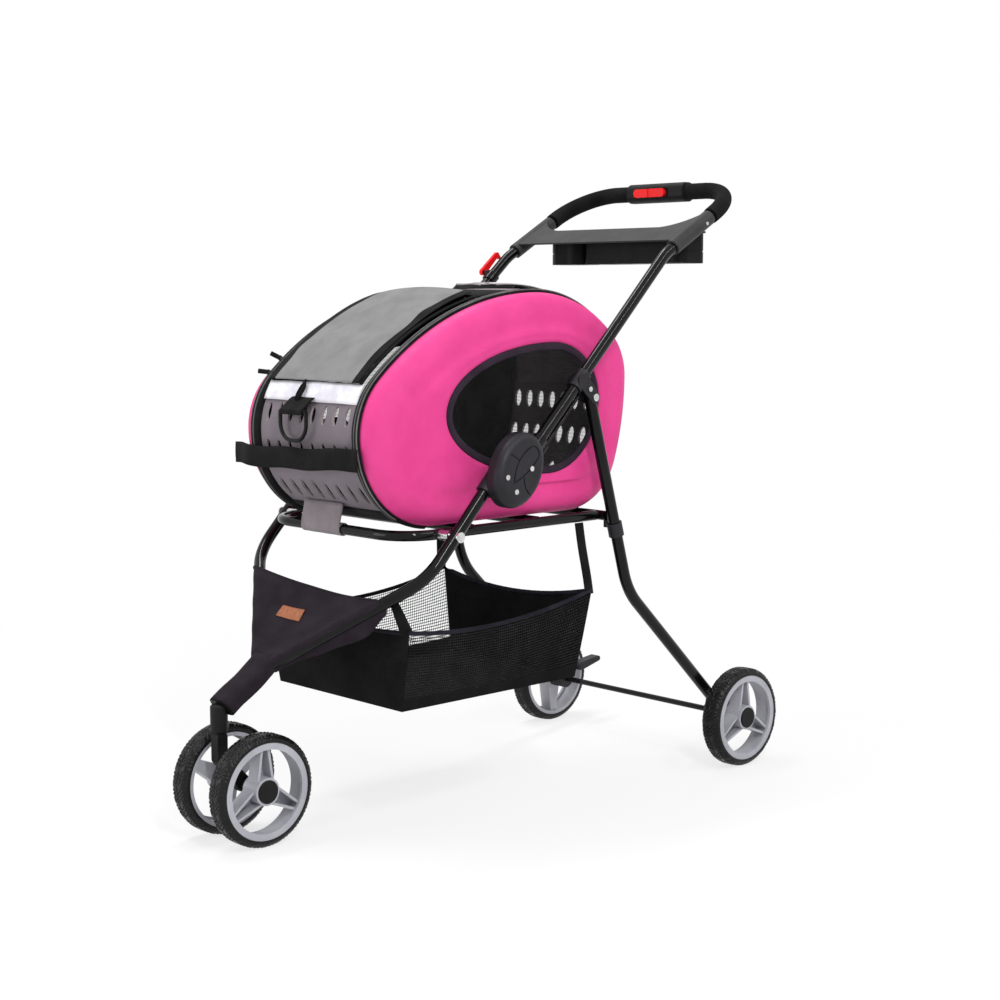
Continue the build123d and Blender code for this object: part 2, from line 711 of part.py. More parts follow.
with BuildPart() as well_rings:
    with BuildSketch(Plane.XY.offset(well_groove_z)):
        well_outlines(0)
    extrude(amount=well_groove_height)
    with BuildSketch(Plane.XY.offset(well_groove_z)):
        well_outlines(well_groove_depth)
    extrude(amount=well_groove_height, mode=Mode.SUBTRACT)
with BuildPart() as tray:
    with BuildSketch(slope_plane.offset(fascia_lift)):
        with BuildLine():
            Polyline((-fascia_half, fascia_end), (-fascia_half, fascia_low), (fascia_half, fascia_low),
                     (fascia_half, fascia_end))
            ThreePointArc((fascia_half, fascia_end), curve_point, (fascia_straight, fascia_high))
            Line((fascia_straight, fascia_high), (-fascia_straight, fascia_high))
            ThreePointArc((-fascia_straight, fascia_high), (-curve_point[0], curve_point[1]),
                          (-fascia_half, fascia_end))
        make_face()
    extrude(amount=fascia_thickness)
    with BuildSketch(Plane.XY.offset(tray_rim_z - tray_rim_thickness)):
        rounded_plan(rim_x, rim_y, tray_rim_corner)
    extrude(amount=tray_rim_thickness)
    with BuildSketch(Plane.XY.offset(tray_bottom_z)):
        well_outlines(0)
    extrude(amount=tray_rim_z - tray_bottom_z)
    for side in (1, -1):
        middle = Vector(side * bend_point.X, bend_point.Y, bend_point.Z)
        rod(middle + rise * clamp_start, middle + rise * clamp_end, clamp_radius)
    with BuildSketch(Plane.XY.offset(tray_bottom_z + tray_wall)):
        well_outlines(tray_wall)
    extrude(amount=tray_rim_z - tray_bottom_z, mode=Mode.SUBTRACT)
    add(well_rings.part, mode=Mode.SUBTRACT)
    for side in (1, -1):
        middle = Vector(side * bend_point.X, bend_point.Y, bend_point.Z)
        rod(middle, middle + rise * 2 * clamp_end, tube_radius + seat_gap, mode=Mode.SUBTRACT)
        face_x = middle.X + side * (clamp_radius + rivet_head)
        cross_rod((screw_point.Y, screw_point.Z), face_x, face_x - side * 2 * rivet_head,
                  screw_radius + seat_gap, mode=Mode.SUBTRACT)
save(tray, "tray")

# Storage latch: a small hook on a pin beside the right push tube
latch_along = Vector(0, side_direction.Y, side_direction.Z).normalized()
latch_above = Vector(0, -latch_along.Z, latch_along.Y)
latch_root = Vector(0, *latch_point) + latch_above * latch_lift
latch_tip = latch_root + latch_along * latch_length
latch_share = (latch_point[0] - fold_pivot[0]) / (push_bend[0] - fold_pivot[0])
latch_tube_x = frame_half_width + (handle_half_width - frame_half_width) * latch_share
latch_face_x = -(latch_tube_x + tube_radius + collar_wall + side_gap)
with BuildPart() as storage_latch:
    side_link(latch_face_x - latch_thickness, latch_face_x, (
        (latch_root.Y, latch_root.Z, latch_radius), (latch_tip.Y, latch_tip.Z, latch_tip_radius)))
    hook = latch_tip - latch_above * latch_hook_drop
    side_link(latch_face_x - latch_thickness, latch_face_x, (
        (latch_tip.Y, latch_tip.Z, latch_tip_radius), (hook.Y, hook.Z, latch_hook_radius)))
    cross_rod((latch_root.Y, latch_root.Z), latch_face_x - latch_thickness, latch_face_x,
              latch_pin_radius + running_gap, mode=Mode.SUBTRACT)
save(storage_latch, "storage_latch")
clip_rise = (latch_point[0] - fold_pivot[0]) * push_direction.Z / push_direction.Y
clip_centre = Vector(-latch_tube_x, latch_point[0], fold_pivot[1] + clip_rise)
clip_direction = Vector(-push_direction.X, push_direction.Y, push_direction.Z)
with BuildPart() as latch_clip:
    rod(clip_centre - clip_direction * clip_half_length, clip_centre + clip_direction * clip_half_length,
        tube_radius + collar_wall)
    cross_rod((latch_root.Y, latch_root.Z), latch_face_x - latch_thickness - latch_pin_end, -latch_tube_x,
              latch_pin_radius)
    rod(clip_centre - clip_direction * 2 * clip_half_length, clip_centre + clip_direction * 2 * clip_half_length,
        tube_radius + seat_gap, mode=Mode.SUBTRACT)
with BuildPart() as tube_collars:
    add(lock_rods.part)
    add(latch_clip.part)
save(tube_collars, "tube_collars")

# Rear legs, knuckles, axle and brakes
rear_foot_direction = (Vector(0, *rear_leg_bend) - Vector(0, *rear_axle)).normalized()
rear_axle_point = Vector(rear_leg_x, *rear_axle)
rear_leg_direction = (Vector(0, *brace_pivot) - Vector(0, *rear_leg_bend)).normalized()
rear_leg = swept_tube((
    Vector(rear_leg_x, *brace_pivot) + rear_leg_direction * rear_leg_stub,
    Vector(rear_leg_x, *rear_leg_bend),
    rear_axle_point + rear_foot_direction * rear_leg_setback), rear_leg_bend_radius)
with BuildPart() as drilled_rear_leg:
    add(rear_leg.part)
    cross_rod(brace_pivot, rear_leg_x - 2 * tube_radius, rear_leg_x + 2 * tube_radius,
              brace_pin_radius + running_gap, mode=Mode.SUBTRACT)
save_pair(drilled_rear_leg, "rear_leg")

brake_pivot = (rear_axle[0] + brake_offset[0], rear_axle[1] + brake_offset[1])
knuckle_x = (rear_leg_x - knuckle_half_length, rear_wheel_x - hub_length / 2 - side_gap)
with BuildPart() as rear_knuckle:
    side_link(*knuckle_x, ((*rear_axle, knuckle_radius), (*brake_pivot, brake_lug_radius)))
    rod(rear_axle_point, rear_axle_point + rear_foot_direction * (rear_leg_setback + knuckle_socket),
        tube_radius + socket_wall)
    rod(rear_axle_point + rear_foot_direction * rear_leg_setback,
        rear_axle_point + rear_foot_direction * 4 * rear_leg_setback, tube_radius + seat_gap, mode=Mode.SUBTRACT)
    cross_rod(rear_axle, knuckle_x[0] - cut_over, knuckle_x[1] + cut_over, axle_radius + seat_gap, mode=Mode.SUBTRACT)
    cross_rod(brake_pivot, knuckle_x[0] - brake_width - 2 * side_gap, knuckle_x[0] + cut_over, brake_pin_radius)
save_pair(rear_knuckle, "rear_knuckle")

rear_axle_half = rear_wheel_x + hub_length / 2 - axle_inset
with BuildPart() as rear_axle_rod:
    cross_rod(rear_axle, -rear_axle_half, rear_axle_half, axle_radius)
save(rear_axle_rod, "rear_axle")

brake_tip = (brake_pivot[0] + brake_tip_offset[0], brake_pivot[1] + brake_tip_offset[1])
brake_x = (knuckle_x[0] - side_gap - brake_width, knuckle_x[0] - side_gap)
with BuildPart() as brake_pedal:
    side_link(*brake_x, ((*brake_pivot, brake_hub_radius), (*brake_tip, brake_tip_radius)))
    fillet(brake_pedal.faces().filter_by(Axis.X).edges(), radius=brake_round)
    cross_rod(brake_pivot, brake_x[0] - cut_over, brake_x[1] + cut_over, brake_pin_radius + running_gap,
              mode=Mode.SUBTRACT)
save_pair(brake_pedal, "brake_pedal")

# Saddles on the rear legs, under the ends of the platform's rear bar
saddle_drop = sqrt(platform_tube_radius ** 2 - saddle_start ** 2) + side_gap
saddle_top_z = platform_z - saddle_drop
saddle_y = (platform_rear[0] + saddle_start, platform_rear[0] + saddle_reach)


def rear_leg_at(z):
    """A point of the rear leg's axis at a height above its bend."""
    return Vector(rear_leg_x, brace_pivot[0] + (z - brace_pivot[1]) * rear_leg_slope, z)


with BuildPart() as leg_saddles:
    rod(rear_leg_at(saddle_top_z - saddle_depth), rear_leg_at(saddle_top_z - saddle_sleeve_step), tube_radius + saddle_wall)
    block((rear_bar_half_length - saddle_overlap, rear_leg_x - tube_radius + cut_over), saddle_y, (saddle_top_z - saddle_depth / 2, saddle_top_z))
    rod(rear_leg_at(saddle_top_z - 3 * saddle_depth), rear_leg_at(saddle_top_z + 3 * saddle_depth),
        tube_radius + seat_gap, mode=Mode.SUBTRACT)
    mirror(about=Plane.YZ)
save(leg_saddles, "leg_saddles")

# Platform: ring tube open at the rear, cross bars, pivot pins and the hold-down strap
ring_end_y = platform_rear[0] - platform_tube_radius - platform_end_gap
ring = swept_tube((
    (platform_half_width, ring_end_y, platform_z),
    (platform_half_width, platform_front_y, platform_z),
    (-platform_half_width, platform_front_y, platform_z),
    (-platform_half_width, ring_end_y, platform_z)), platform_corner, platform_tube_radius)
with BuildPart() as platform_ring:
    add(ring.part)
    for side in (1, -1):
        cross_rod(platform_pivot, side * (platform_half_width - 2 * platform_tube_radius),
                  side * (platform_half_width + 2 * platform_tube_radius), pin_radius + seat_gap,
                  mode=Mode.SUBTRACT)
save(platform_ring, "platform_ring")

bar_half = ring_inner_x - platform_end_gap
with BuildPart() as platform_bars:
    for bar_y in platform_bar_ys:
        cross_rod((bar_y, platform_z), -bar_half, bar_half, platform_tube_radius)
    cross_rod(platform_rear, -rear_bar_half_length, rear_bar_half_length, platform_tube_radius)
save(platform_bars, "platform_bars")

with BuildPart() as platform_pins:
    cross_rod(platform_pivot, ring_inner_x - pin_head, leg_outer_x + side_gap, pin_radius)
    cross_rod(platform_pivot, ring_inner_x - pin_head, ring_inner_x - seat_gap, pin_end_radius)
    cross_rod(platform_pivot, ring_outer_x + seat_gap, leg_inner_x - side_gap, pin_head_radius)
    cross_rod(platform_pivot, leg_outer_x + side_gap, leg_outer_x + side_gap + pin_head, pin_head_radius)
    mirror(about=Plane.YZ)
save(platform_pins, "platform_pins")

strap_radius = platform_tube_radius + seat_gap + strap_thickness
with BuildPart() as platform_strap:
    cross_rod((platform_front_y, platform_z), *strap_x, strap_radius)
    block(strap_x, (platform_front_y - strap_radius, platform_front_y - strap_radius + strap_thickness),
          (platform_z, strap_top_z))
    cross_rod((platform_front_y, platform_z), *strap_x, platform_tube_radius + seat_gap, mode=Mode.SUBTRACT)
save(platform_strap, "platform_strap")

# Carrier outline in the side view
front_y, front_z = carrier_front
top_y, top_z = carrier_top
rear_y, rear_z = carrier_rear
slope_share = tan(radians(roof_slope / 2))
nose_radius = ((top_z - front_z) - slope_share * (top_y - front_y)) / (
    cos(radians(roof_slope)) - slope_share * (1 - sin(radians(roof_slope))))
roof_radius = (top_y - front_y - nose_radius * (1 - sin(radians(roof_slope)))) / sin(radians(roof_slope))
toe_radius = front_z - carrier_floor_z
split_sin = sin(radians(rear_split))
split_cos = cos(radians(rear_split))
split_share = split_sin * split_cos - (1 - split_sin) * (1 - split_cos)
crown_radius = ((rear_y - top_y) * split_cos - (top_z - rear_z) * (1 - split_sin)) / split_share
back_radius = ((top_z - rear_z) * split_sin - (rear_y - top_y) * (1 - split_cos)) / split_share
rear_lean = 2 * degrees(atan2(rear_y - carrier_rear_low[0], rear_z - carrier_rear_low[1]))
heel_turn = 90 - rear_lean
heel_y = carrier_rear_low[0] - (carrier_rear_low[1] - carrier_floor_z) / tan(radians(heel_turn / 2))


def carrier_outline():
    """Face of the carrier's side view: flat floor, round nose, long roof and round rear."""
    with BuildLine() as outline:
        Line((heel_y, carrier_floor_z), (front_y + toe_radius, carrier_floor_z))
        CenterArc((front_y + toe_radius, front_z), toe_radius, 270, -90)
        CenterArc((front_y + nose_radius, front_z), nose_radius, 180, -(90 - roof_slope))
        CenterArc((top_y, top_z - roof_radius), roof_radius, 90 + roof_slope, -roof_slope)
        CenterArc((top_y, top_z - crown_radius), crown_radius, 90, -rear_split)
        CenterArc((rear_y - back_radius, rear_z), back_radius, 90 - rear_split, rear_split - 90)
        back = TangentArc(carrier_rear, carrier_rear_low, tangent=(0, -1))
        TangentArc(carrier_rear_low, (heel_y, carrier_floor_z), tangent=back % 1)
    make_face(outline.edges())


def window_outline(inset=0.0):
    """Teardrop of the side window, from four quarter ellipses."""
    with BuildLine() as outline:
        EllipticalCenterArc((window_top[0], window_left_z), window_top[0] - window_left_y - inset,
                            window_top[1] - window_left_z - inset, 180, arc_size=-90)
        EllipticalCenterArc((window_top[0], window_right_z), window_right_y - window_top[0] - inset,
                            window_top[1] - window_right_z - inset, 90, arc_size=-90)
        EllipticalCenterArc((window_bottom[0], window_right_z), window_right_y - window_bottom[0] - inset,
                            window_right_z - window_bottom[1] - inset, 0, arc_size=-90)
        EllipticalCenterArc((window_bottom[0], window_left_z), window_bottom[0] - window_left_y - inset,
                            window_left_z - window_bottom[1] - inset, 270, arc_size=-90)
    make_face(outline.edges())


far = 1000.0                 # past every face of the carrier


def belt_ring(half_width, outward, wall):
    """The band that follows the carrier's outline, grown outward by an offset and flat underneath."""
    with BuildPart() as band:
        with BuildSketch(Plane.YZ.offset(-half_width)):
            carrier_outline()
            offset(amount=outward)
        extrude(amount=2 * half_width)
        with BuildSketch(Plane.YZ.offset(-half_width)):
            carrier_outline()
            if outward != wall:
                offset(amount=outward - wall)
        extrude(amount=2 * half_width, mode=Mode.SUBTRACT)
        block((-far, far), (-far, far), (carrier_floor_z - far, carrier_floor_z), mode=Mode.SUBTRACT)
    return band


roof_region = ((-far, roof_rear_y), (roof_front_z, far))
front_region = ((-far, front_plate_limit), plate_z)
rear_region = ((rear_plate_limit, far), plate_z)


def band_window(region, half_width, grow=0.0, mode=Mode.SUBTRACT):
    """A block over part of the band, in the side view, shrunk or grown on every side."""
    (y_low, y_high), (z_low, z_high) = region
    block((-half_width - grow, half_width + grow), (y_low - grow, y_high + grow), (z_low - grow, z_high + grow),
          mode=mode)


full_band = belt_ring(belt_half_width, belt_proud, belt_proud + belt_wall)
plate_band = belt_ring(belt_half_width, belt_proud - plate_recess, plate_wall)
roof_band = belt_ring(belt_half_width, belt_proud, roof_wall)
with BuildPart() as belt:
    add(full_band.part)
    for region in (roof_region, front_region, rear_region):
        band_window(region, panel_half_width)
save(belt, "belt")


def slots(y_from, y_to, half_width):
    """Rows of leaf-shaped holes through a plate, along Y."""
    plane = Plane(origin=(0, y_from, 0), x_dir=(1, 0, 0), z_dir=(0, -1, 0))
    with BuildSketch(plane) as leaves:
        for row_z in slot_row_zs:
            for column in range(slot_columns):
                with Locations(((column - (slot_columns - 1) / 2) * slot_pitch_x, row_z)):
                    Ellipse(half_width, slot_half_height)
    extrude(leaves.sketch, amount=y_from - y_to, mode=Mode.SUBTRACT)


with BuildPart() as front_plate:
    add(plate_band.part)
    band_window(front_region, panel_half_width, -side_gap, mode=Mode.INTERSECT)
    slots(front_plate_limit, -far / 2, front_slot_half_width)
save(front_plate, "front_plate")

with BuildPart() as rear_plate:
    add(plate_band.part)
    band_window(rear_region, panel_half_width, -side_gap, mode=Mode.INTERSECT)
    slots(far / 2, rear_plate_limit, rear_slot_half_width)
save(rear_plate, "rear_plate")

with BuildPart() as roof_mesh:
    add(roof_band.part)
    band_window(roof_region, panel_half_width, -side_gap, mode=Mode.INTERSECT)
save(roof_mesh, "roof_mesh")

flap_band = belt_ring(flap_half_width, belt_proud + side_gap + flap_thickness, flap_thickness)
flap_region = ((-far, roof_rear_y + flap_overlap), (roof_front_z + flap_front_step, far))
with BuildPart() as roof_flap:
    add(flap_band.part)
    band_window(flap_region, flap_half_width, mode=Mode.INTERSECT)
save(roof_flap, "roof_flap")

# Carrier shells with their windows
shell_seam_x = belt_half_width + seat_gap
with BuildPart() as shell_core:
    with BuildSketch(Plane.YZ.offset(shell_seam_x)):
        carrier_outline()
        offset(amount=-shell_wall)
    extrude(amount=carrier_half_width - shell_wall - shell_seam_x)
    fillet(shell_core.faces().sort_by(Axis.X)[-1].edges(), radius=shell_round - shell_wall)
with BuildPart() as shell:
    with BuildSketch(Plane.YZ.offset(shell_seam_x)):
        carrier_outline()
    extrude(amount=carrier_half_width - shell_seam_x)
    fillet(shell.faces().sort_by(Axis.X)[-1].edges(), radius=shell_round)
    add(shell_core.part, mode=Mode.SUBTRACT)
    with BuildSketch(Plane.YZ.offset(carrier_half_width - 3 * shell_wall)):
        window_outline()
    extrude(amount=6 * shell_wall, mode=Mode.SUBTRACT)
save_pair(shell, "shell")

window_x = carrier_half_width - (shell_wall + window_thickness) / 2
with BuildPart() as window:
    with BuildSketch(Plane.YZ.offset(window_x)):
        window_outline(inset=side_gap)
    extrude(amount=window_thickness)
save_pair(window, "window")

floor_z = carrier_floor_z + belt_wall + seat_gap
with BuildPart() as floor_board:
    block((-floor_half_width, floor_half_width), (front_y + toe_radius, heel_y), (floor_z, floor_z + floor_thickness))
save(floor_board, "floor_board")

# Front webbing: the strap across the slotted plate, and the tab whose loop carries the D-ring
strap_band = belt_ring(strap_band_half, belt_proud + side_gap + strap_band_thickness, strap_band_thickness)
ring_y = front_y - belt_proud - side_gap - ring_wire
ring_pin = (ring_y, ring_z)
tab_x = (ring_x - ring_tab_width / 2, ring_x + ring_tab_width / 2)
tab_root_y = ring_y + ring_tab_depth
with BuildPart() as strap_piece:
    add(strap_band.part)
    block((-strap_band_half, strap_band_half), (-far, top_y), strap_band_z, mode=Mode.INTERSECT)
with BuildPart() as tab_piece:
    add(strap_band.part)
    block(tab_x, (-far, top_y), (ring_z + ring_wire, ring_tab_top_z), mode=Mode.INTERSECT)
with BuildPart() as front_webbing:
    add(strap_piece.part)
    add(tab_piece.part)
    block(tab_x, (ring_y, tab_root_y), (ring_z, ring_z + ring_tab_depth))
    cross_rod(ring_pin, *tab_x, ring_wire + running_gap + ring_tab_thickness)
    cross_rod(ring_pin, *tab_x, ring_wire + running_gap, mode=Mode.SUBTRACT)
save(front_webbing, "front_webbing")

ring_turn = ring_width / 2 - ring_wire
with BuildPart() as d_ring:
    with BuildLine() as loop:
        FilletPolyline((ring_x - ring_turn, ring_y, ring_z), (ring_x - ring_turn, ring_y, ring_z - ring_height),
                       (ring_x + ring_turn, ring_y, ring_z - ring_height), (ring_x + ring_turn, ring_y, ring_z),
                       radius=ring_corner)
    with BuildSketch(Plane(origin=loop.line @ 0, z_dir=loop.line % 0)) as wire:
        Circle(ring_wire)
    sweep(wire.sketch, path=loop.line)
    rod(Vector(ring_x - ring_turn, ring_y, ring_z), Vector(ring_x + ring_turn, ring_y, ring_z), ring_wire)
save(d_ring, "d_ring")

# Apron between the converging legs
slope = (Vector(0, *leg_bend) - Vector(0, *leg_merge)).normalized()
slope_length = (Vector(0, *leg_bend) - Vector(0, *leg_merge)).length
spread = (frame_half_width - leg_merge_half_width) / slope_length
edge_inset = (tube_radius + 2 * side_gap) * sqrt(1 + spread ** 2)


def apron_half(along):
    """Half width between the legs at a distance up the slope."""
    return leg_merge_half_width + spread * along - edge_inset


apron_normal = Vector(1, 0, 0).cross(slope)
with BuildPart() as apron:
    with BuildSketch(Plane(origin=(0, *leg_merge), x_dir=(1, 0, 0), z_dir=apron_normal)):
        Polygon((-apron_half(apron_low), apron_low), (apron_half(apron_low), apron_low),
                (apron_half(apron_high), apron_high), (-apron_half(apron_high), apron_high), align=None)
    extrude(amount=apron_thickness / 2, both=True)
save(apron, "apron")


# Basket: an open tapered tub, with straps up to the platform ring and hangers to the legs
def basket_form(inset, bottom_z):
    """A tapered block with rounded corners, drawn in by an inset."""
    levels = (
        (bottom_z, basket_bottom_half, basket_bottom_y),
        (basket_top_z, basket_top_half, basket_top_y),
    )
    with BuildPart() as form:
        for z, half, (y_low, y_high) in levels:
            with BuildSketch(Plane(origin=(0, (y_low + y_high) / 2, z))):
                RectangleRounded(2 * (half - inset), y_high - y_low - 2 * inset, basket_corner - inset)
        loft(ruled=True)
    return form


outer_form = basket_form(0, basket_bottom_z)
inner_form = basket_form(basket_wall, basket_bottom_z + basket_wall)
with BuildPart() as basket:
    add(outer_form.part)
    add(inner_form.part, mode=Mode.SUBTRACT)
save(basket, "basket")

hanger_start = Vector(basket_top_half - hanger_inset[0], basket_top_y[0] + hanger_inset[1],
                      basket_top_z + basket_strap_thickness / 2)
hanger_target = Vector(frame_half_width, *leg_bend) - slope * hanger_drop
hanger_run = hanger_target - hanger_start
with BuildPart() as basket_straps:
    block((platform_half_width - basket_strap_thickness / 2, platform_half_width + basket_strap_thickness / 2),
          (rear_strap_y - basket_strap_width / 2, rear_strap_y + basket_strap_width / 2),
          (basket_top_z + seat_gap, platform_z - platform_tube_radius - side_gap))
    with BuildSketch(Plane(origin=hanger_start, x_dir=(0, 1, 0), z_dir=hanger_run)) as hanger:
        Rectangle(basket_strap_width, basket_strap_thickness)
    extrude(hanger.sketch, amount=hanger_run.length - tube_radius - hanger_end_gap)
    mirror(about=Plane.YZ)
save(basket_straps, "basket_straps")
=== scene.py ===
import json
from contextlib import contextmanager
from math import asin, atan2, copysign, cos, degrees, exp, pi, radians, sin, sqrt, tan

import bmesh
import bpy
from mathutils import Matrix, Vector


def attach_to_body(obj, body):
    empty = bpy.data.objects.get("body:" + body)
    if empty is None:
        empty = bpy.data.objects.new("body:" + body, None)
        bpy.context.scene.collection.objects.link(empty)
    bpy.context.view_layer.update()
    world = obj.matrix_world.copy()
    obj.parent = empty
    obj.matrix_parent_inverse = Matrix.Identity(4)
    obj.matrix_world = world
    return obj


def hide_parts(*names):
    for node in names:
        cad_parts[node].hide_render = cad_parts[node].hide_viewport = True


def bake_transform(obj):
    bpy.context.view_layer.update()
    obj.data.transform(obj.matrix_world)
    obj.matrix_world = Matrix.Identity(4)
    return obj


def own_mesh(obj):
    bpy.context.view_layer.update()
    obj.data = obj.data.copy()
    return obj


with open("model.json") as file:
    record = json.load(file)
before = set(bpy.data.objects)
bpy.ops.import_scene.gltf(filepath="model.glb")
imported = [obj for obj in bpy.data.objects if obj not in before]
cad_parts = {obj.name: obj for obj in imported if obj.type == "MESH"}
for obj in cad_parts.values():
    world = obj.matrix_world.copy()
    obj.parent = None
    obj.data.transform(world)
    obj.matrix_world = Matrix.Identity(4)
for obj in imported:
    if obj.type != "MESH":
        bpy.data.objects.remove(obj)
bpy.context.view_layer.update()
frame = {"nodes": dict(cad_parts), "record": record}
nodes = frame["nodes"]


# Shader helpers, with lengths in metres
COLOUR_STOPS, ROUGHNESS_STOPS = (0.35, 0.65), (0.3, 0.7)
GRAIN_DEPTH, THREAD_DEPTH = 0.0004, 0.0006
NET_BLUR = 0.03  # half the step from hole to thread, as a share of a cell


def rgba(colour):
    """A colour from three numbers, or a grey from one."""
    return (*colour, 1) if isinstance(colour, tuple) else (colour, colour, colour, 1)


def material(name, base, rough, metallic=0.0, sheen=0.0, specular=0.5):
    """A Principled material with its plain values set, its shader and its node tree."""
    mat = bpy.data.materials.new(name)
    mat.use_nodes = True
    tree = mat.node_tree
    shader = tree.nodes["Principled BSDF"]
    values = {"Base Color": rgba(base), "Roughness": rough, "Metallic": metallic, "Sheen Weight": sheen,
              "Specular IOR Level": specular}
    for key, value in values.items():
        shader.inputs[key].default_value = value
    return mat, shader, tree


def add_node(tree, kind, **values):
    """A node with its settings and plain inputs given by name."""
    node = tree.nodes.new("ShaderNode" + kind)
    for key, value in values.items():
        if hasattr(node, key):
            setattr(node, key, value)
        else:
            node.inputs[key.replace("_", " ")].default_value = value
    return node


def link(output, socket):
    socket.id_data.links.new(output, socket)


def calculate(tree, operation, *values):
    """The result of a math node on outputs and plain numbers."""
    node = add_node(tree, "Math", operation=operation)
    for socket, value in zip(node.inputs, values):
        if isinstance(value, float):
            socket.default_value = value
        else:
            link(value, socket)
    return node.outputs[0]


def coords(tree):
    return add_node(tree, "TexCoord").outputs["Object"]


def sideways(tree, vector):
    """The size of a vector's X, which points across the stroller."""
    parts = add_node(tree, "SeparateXYZ")
    link(vector, parts.inputs[0])
    return calculate(tree, "ABSOLUTE", parts.outputs["X"])


def mask(tree, value, low, high, start=0.0):
    """The start value below low, 1 above high."""
    node = add_node(tree, "MapRange", From_Min=low, From_Max=high, To_Min=start)
    link(value, node.inputs["Value"])
    return node.outputs["Result"]


def ramp(tree, source, stops, colours):
    """Runs between two colours as the source runs between two stops."""
    node = add_node(tree, "ValToRGB")
    for element, position, colour in zip(node.color_ramp.elements, stops, colours):
        element.position = position
        element.color = rgba(colour)
    link(source, node.inputs["Fac"])
    return node.outputs["Color"]


def noise(tree, scale, detail):
    node = add_node(tree, "TexNoise", Scale=scale, Detail=detail, Roughness=0.55)
    link(coords(tree), node.inputs["Vector"])
    return node.outputs["Fac"]


def mottle(tree, scale, low, high, detail=3.0):
    """A colour that varies softly between two colours."""
    return ramp(tree, noise(tree, scale, detail), COLOUR_STOPS, (low, high))


def tint(tree, shader, scale, low, high, detail=3.0):
    link(mottle(tree, scale, low, high, detail), shader.inputs["Base Color"])


def roughen(tree, shader, scale, low, high, detail=3.0):
    shade = ramp(tree, noise(tree, scale, detail), ROUGHNESS_STOPS, (low, high))
    link(shade, shader.inputs["Roughness"])


def mix_colours(tree, shader, factor, first, second):
    node = add_node(tree, "Mix", data_type="RGBA")
    link(factor, node.inputs["Factor"])
    link(first, node.inputs[6])
    link(second, node.inputs[7])
    link(node.outputs[2], shader.inputs["Base Color"])


def bump(tree, shader, height, strength, distance=GRAIN_DEPTH):
    node = add_node(tree, "Bump", Strength=strength, Distance=distance)
    link(height, node.inputs["Height"])
    link(node.outputs["Normal"], shader.inputs["Normal"])


def threads(tree, scale, axes):
    """Fine crossed threads along the given object axes, as one height value."""
    total = None
    for axis in axes:
        node = add_node(tree, "TexWave", Scale=scale, bands_direction=axis)
        link(coords(tree), node.inputs["Vector"])
        wave = node.outputs["Fac"]
        total = calculate(tree, "MULTIPLY", total, wave) if total else wave
    return total


# Materials
PLATE_HALF = 0.110  # the slots lie within this distance of the middle
TRAY_NORMAL = (0.0, -0.5, 0.866)  # of the slope under the tray's fascia
TRAY_EDGE = (0.0, 0.285, 0.877)  # a place on the fascia's front edge
TRAY_DROP = 0.0045
TRAY_LEVEL = sum(n * p for n, p in zip(TRAY_NORMAL, TRAY_EDGE)) + TRAY_DROP
TRAY_END, TRAY_BLUR = 0.170, 0.001  # the fascia's arms start at this distance from the middle


def plastic(name, low, high, rough=(0.42, 0.55), grain=900, strength=0.12, specular=0.5):
    mat, shader, tree = material(name, low, rough[0], specular=specular)
    tint(tree, shader, 18, low, high)
    roughen(tree, shader, 40, *rough)
    bump(tree, shader, noise(tree, grain, 2), strength)
    return mat


def cloth(name, low, high, thread, axes=("X", "Y", "Z")):
    mat, shader, tree = material(name, low, 0.9, sheen=0.02, specular=0.06)
    tint(tree, shader, 25, low, high, 4)
    bump(tree, shader, threads(tree, thread, axes), 0.35, THREAD_DEPTH)
    return mat


def netting(name, colour, cell, hole):
    """An open mesh of round holes on the sheet's UV map, which is in metres."""
    mat, shader, tree = material(name, colour, 0.8, specular=0.08)
    node = add_node(tree, "TexVoronoi", Scale=1 / cell, Randomness=0.0)
    node.voronoi_dimensions = "2D"
    link(add_node(tree, "TexCoord").outputs["UV"], node.inputs["Vector"])
    thread = ramp(tree, node.outputs["Distance"], (hole - NET_BLUR, hole + NET_BLUR), (0, 1))
    link(thread, shader.inputs["Alpha"])
    tint(tree, shader, 30, colour, colour * 1.6)
    return mat


def make_leather():
    mat, shader, tree = material("tan_leather", (0.36, 0.13, 0.045), 0.55)
    tint(tree, shader, 160, (0.25, 0.076, 0.025), (0.36, 0.112, 0.04), 5)
    bump(tree, shader, noise(tree, 900, 4), 0.35)
    return mat


def make_satin():
    mat, shader, tree = material("white_satin", 0.80, 0.3, sheen=0.3, specular=0.6)
    tint(tree, shader, 35, (0.60, 0.58, 0.66), (0.84, 0.83, 0.87), 4)
    bump(tree, shader, noise(tree, 70, 3), 0.5, 0.002)
    return mat


def make_paint():
    mat, shader, tree = material("gloss_black_paint", 0.003, 0.09, specular=0.2)
    tint(tree, shader, 12, 0.002, 0.005)
    roughen(tree, shader, 60, 0.07, 0.12, 4)
    bump(tree, shader, noise(tree, 700, 2), 0.04, 0.0003)
    return mat


def make_steel():
    mat, shader, tree = material("rivet_steel", 0.62, 0.25, metallic=1.0)
    tint(tree, shader, 120, 0.5, 0.72)
    roughen(tree, shader, 300, 0.18, 0.36)
    return mat


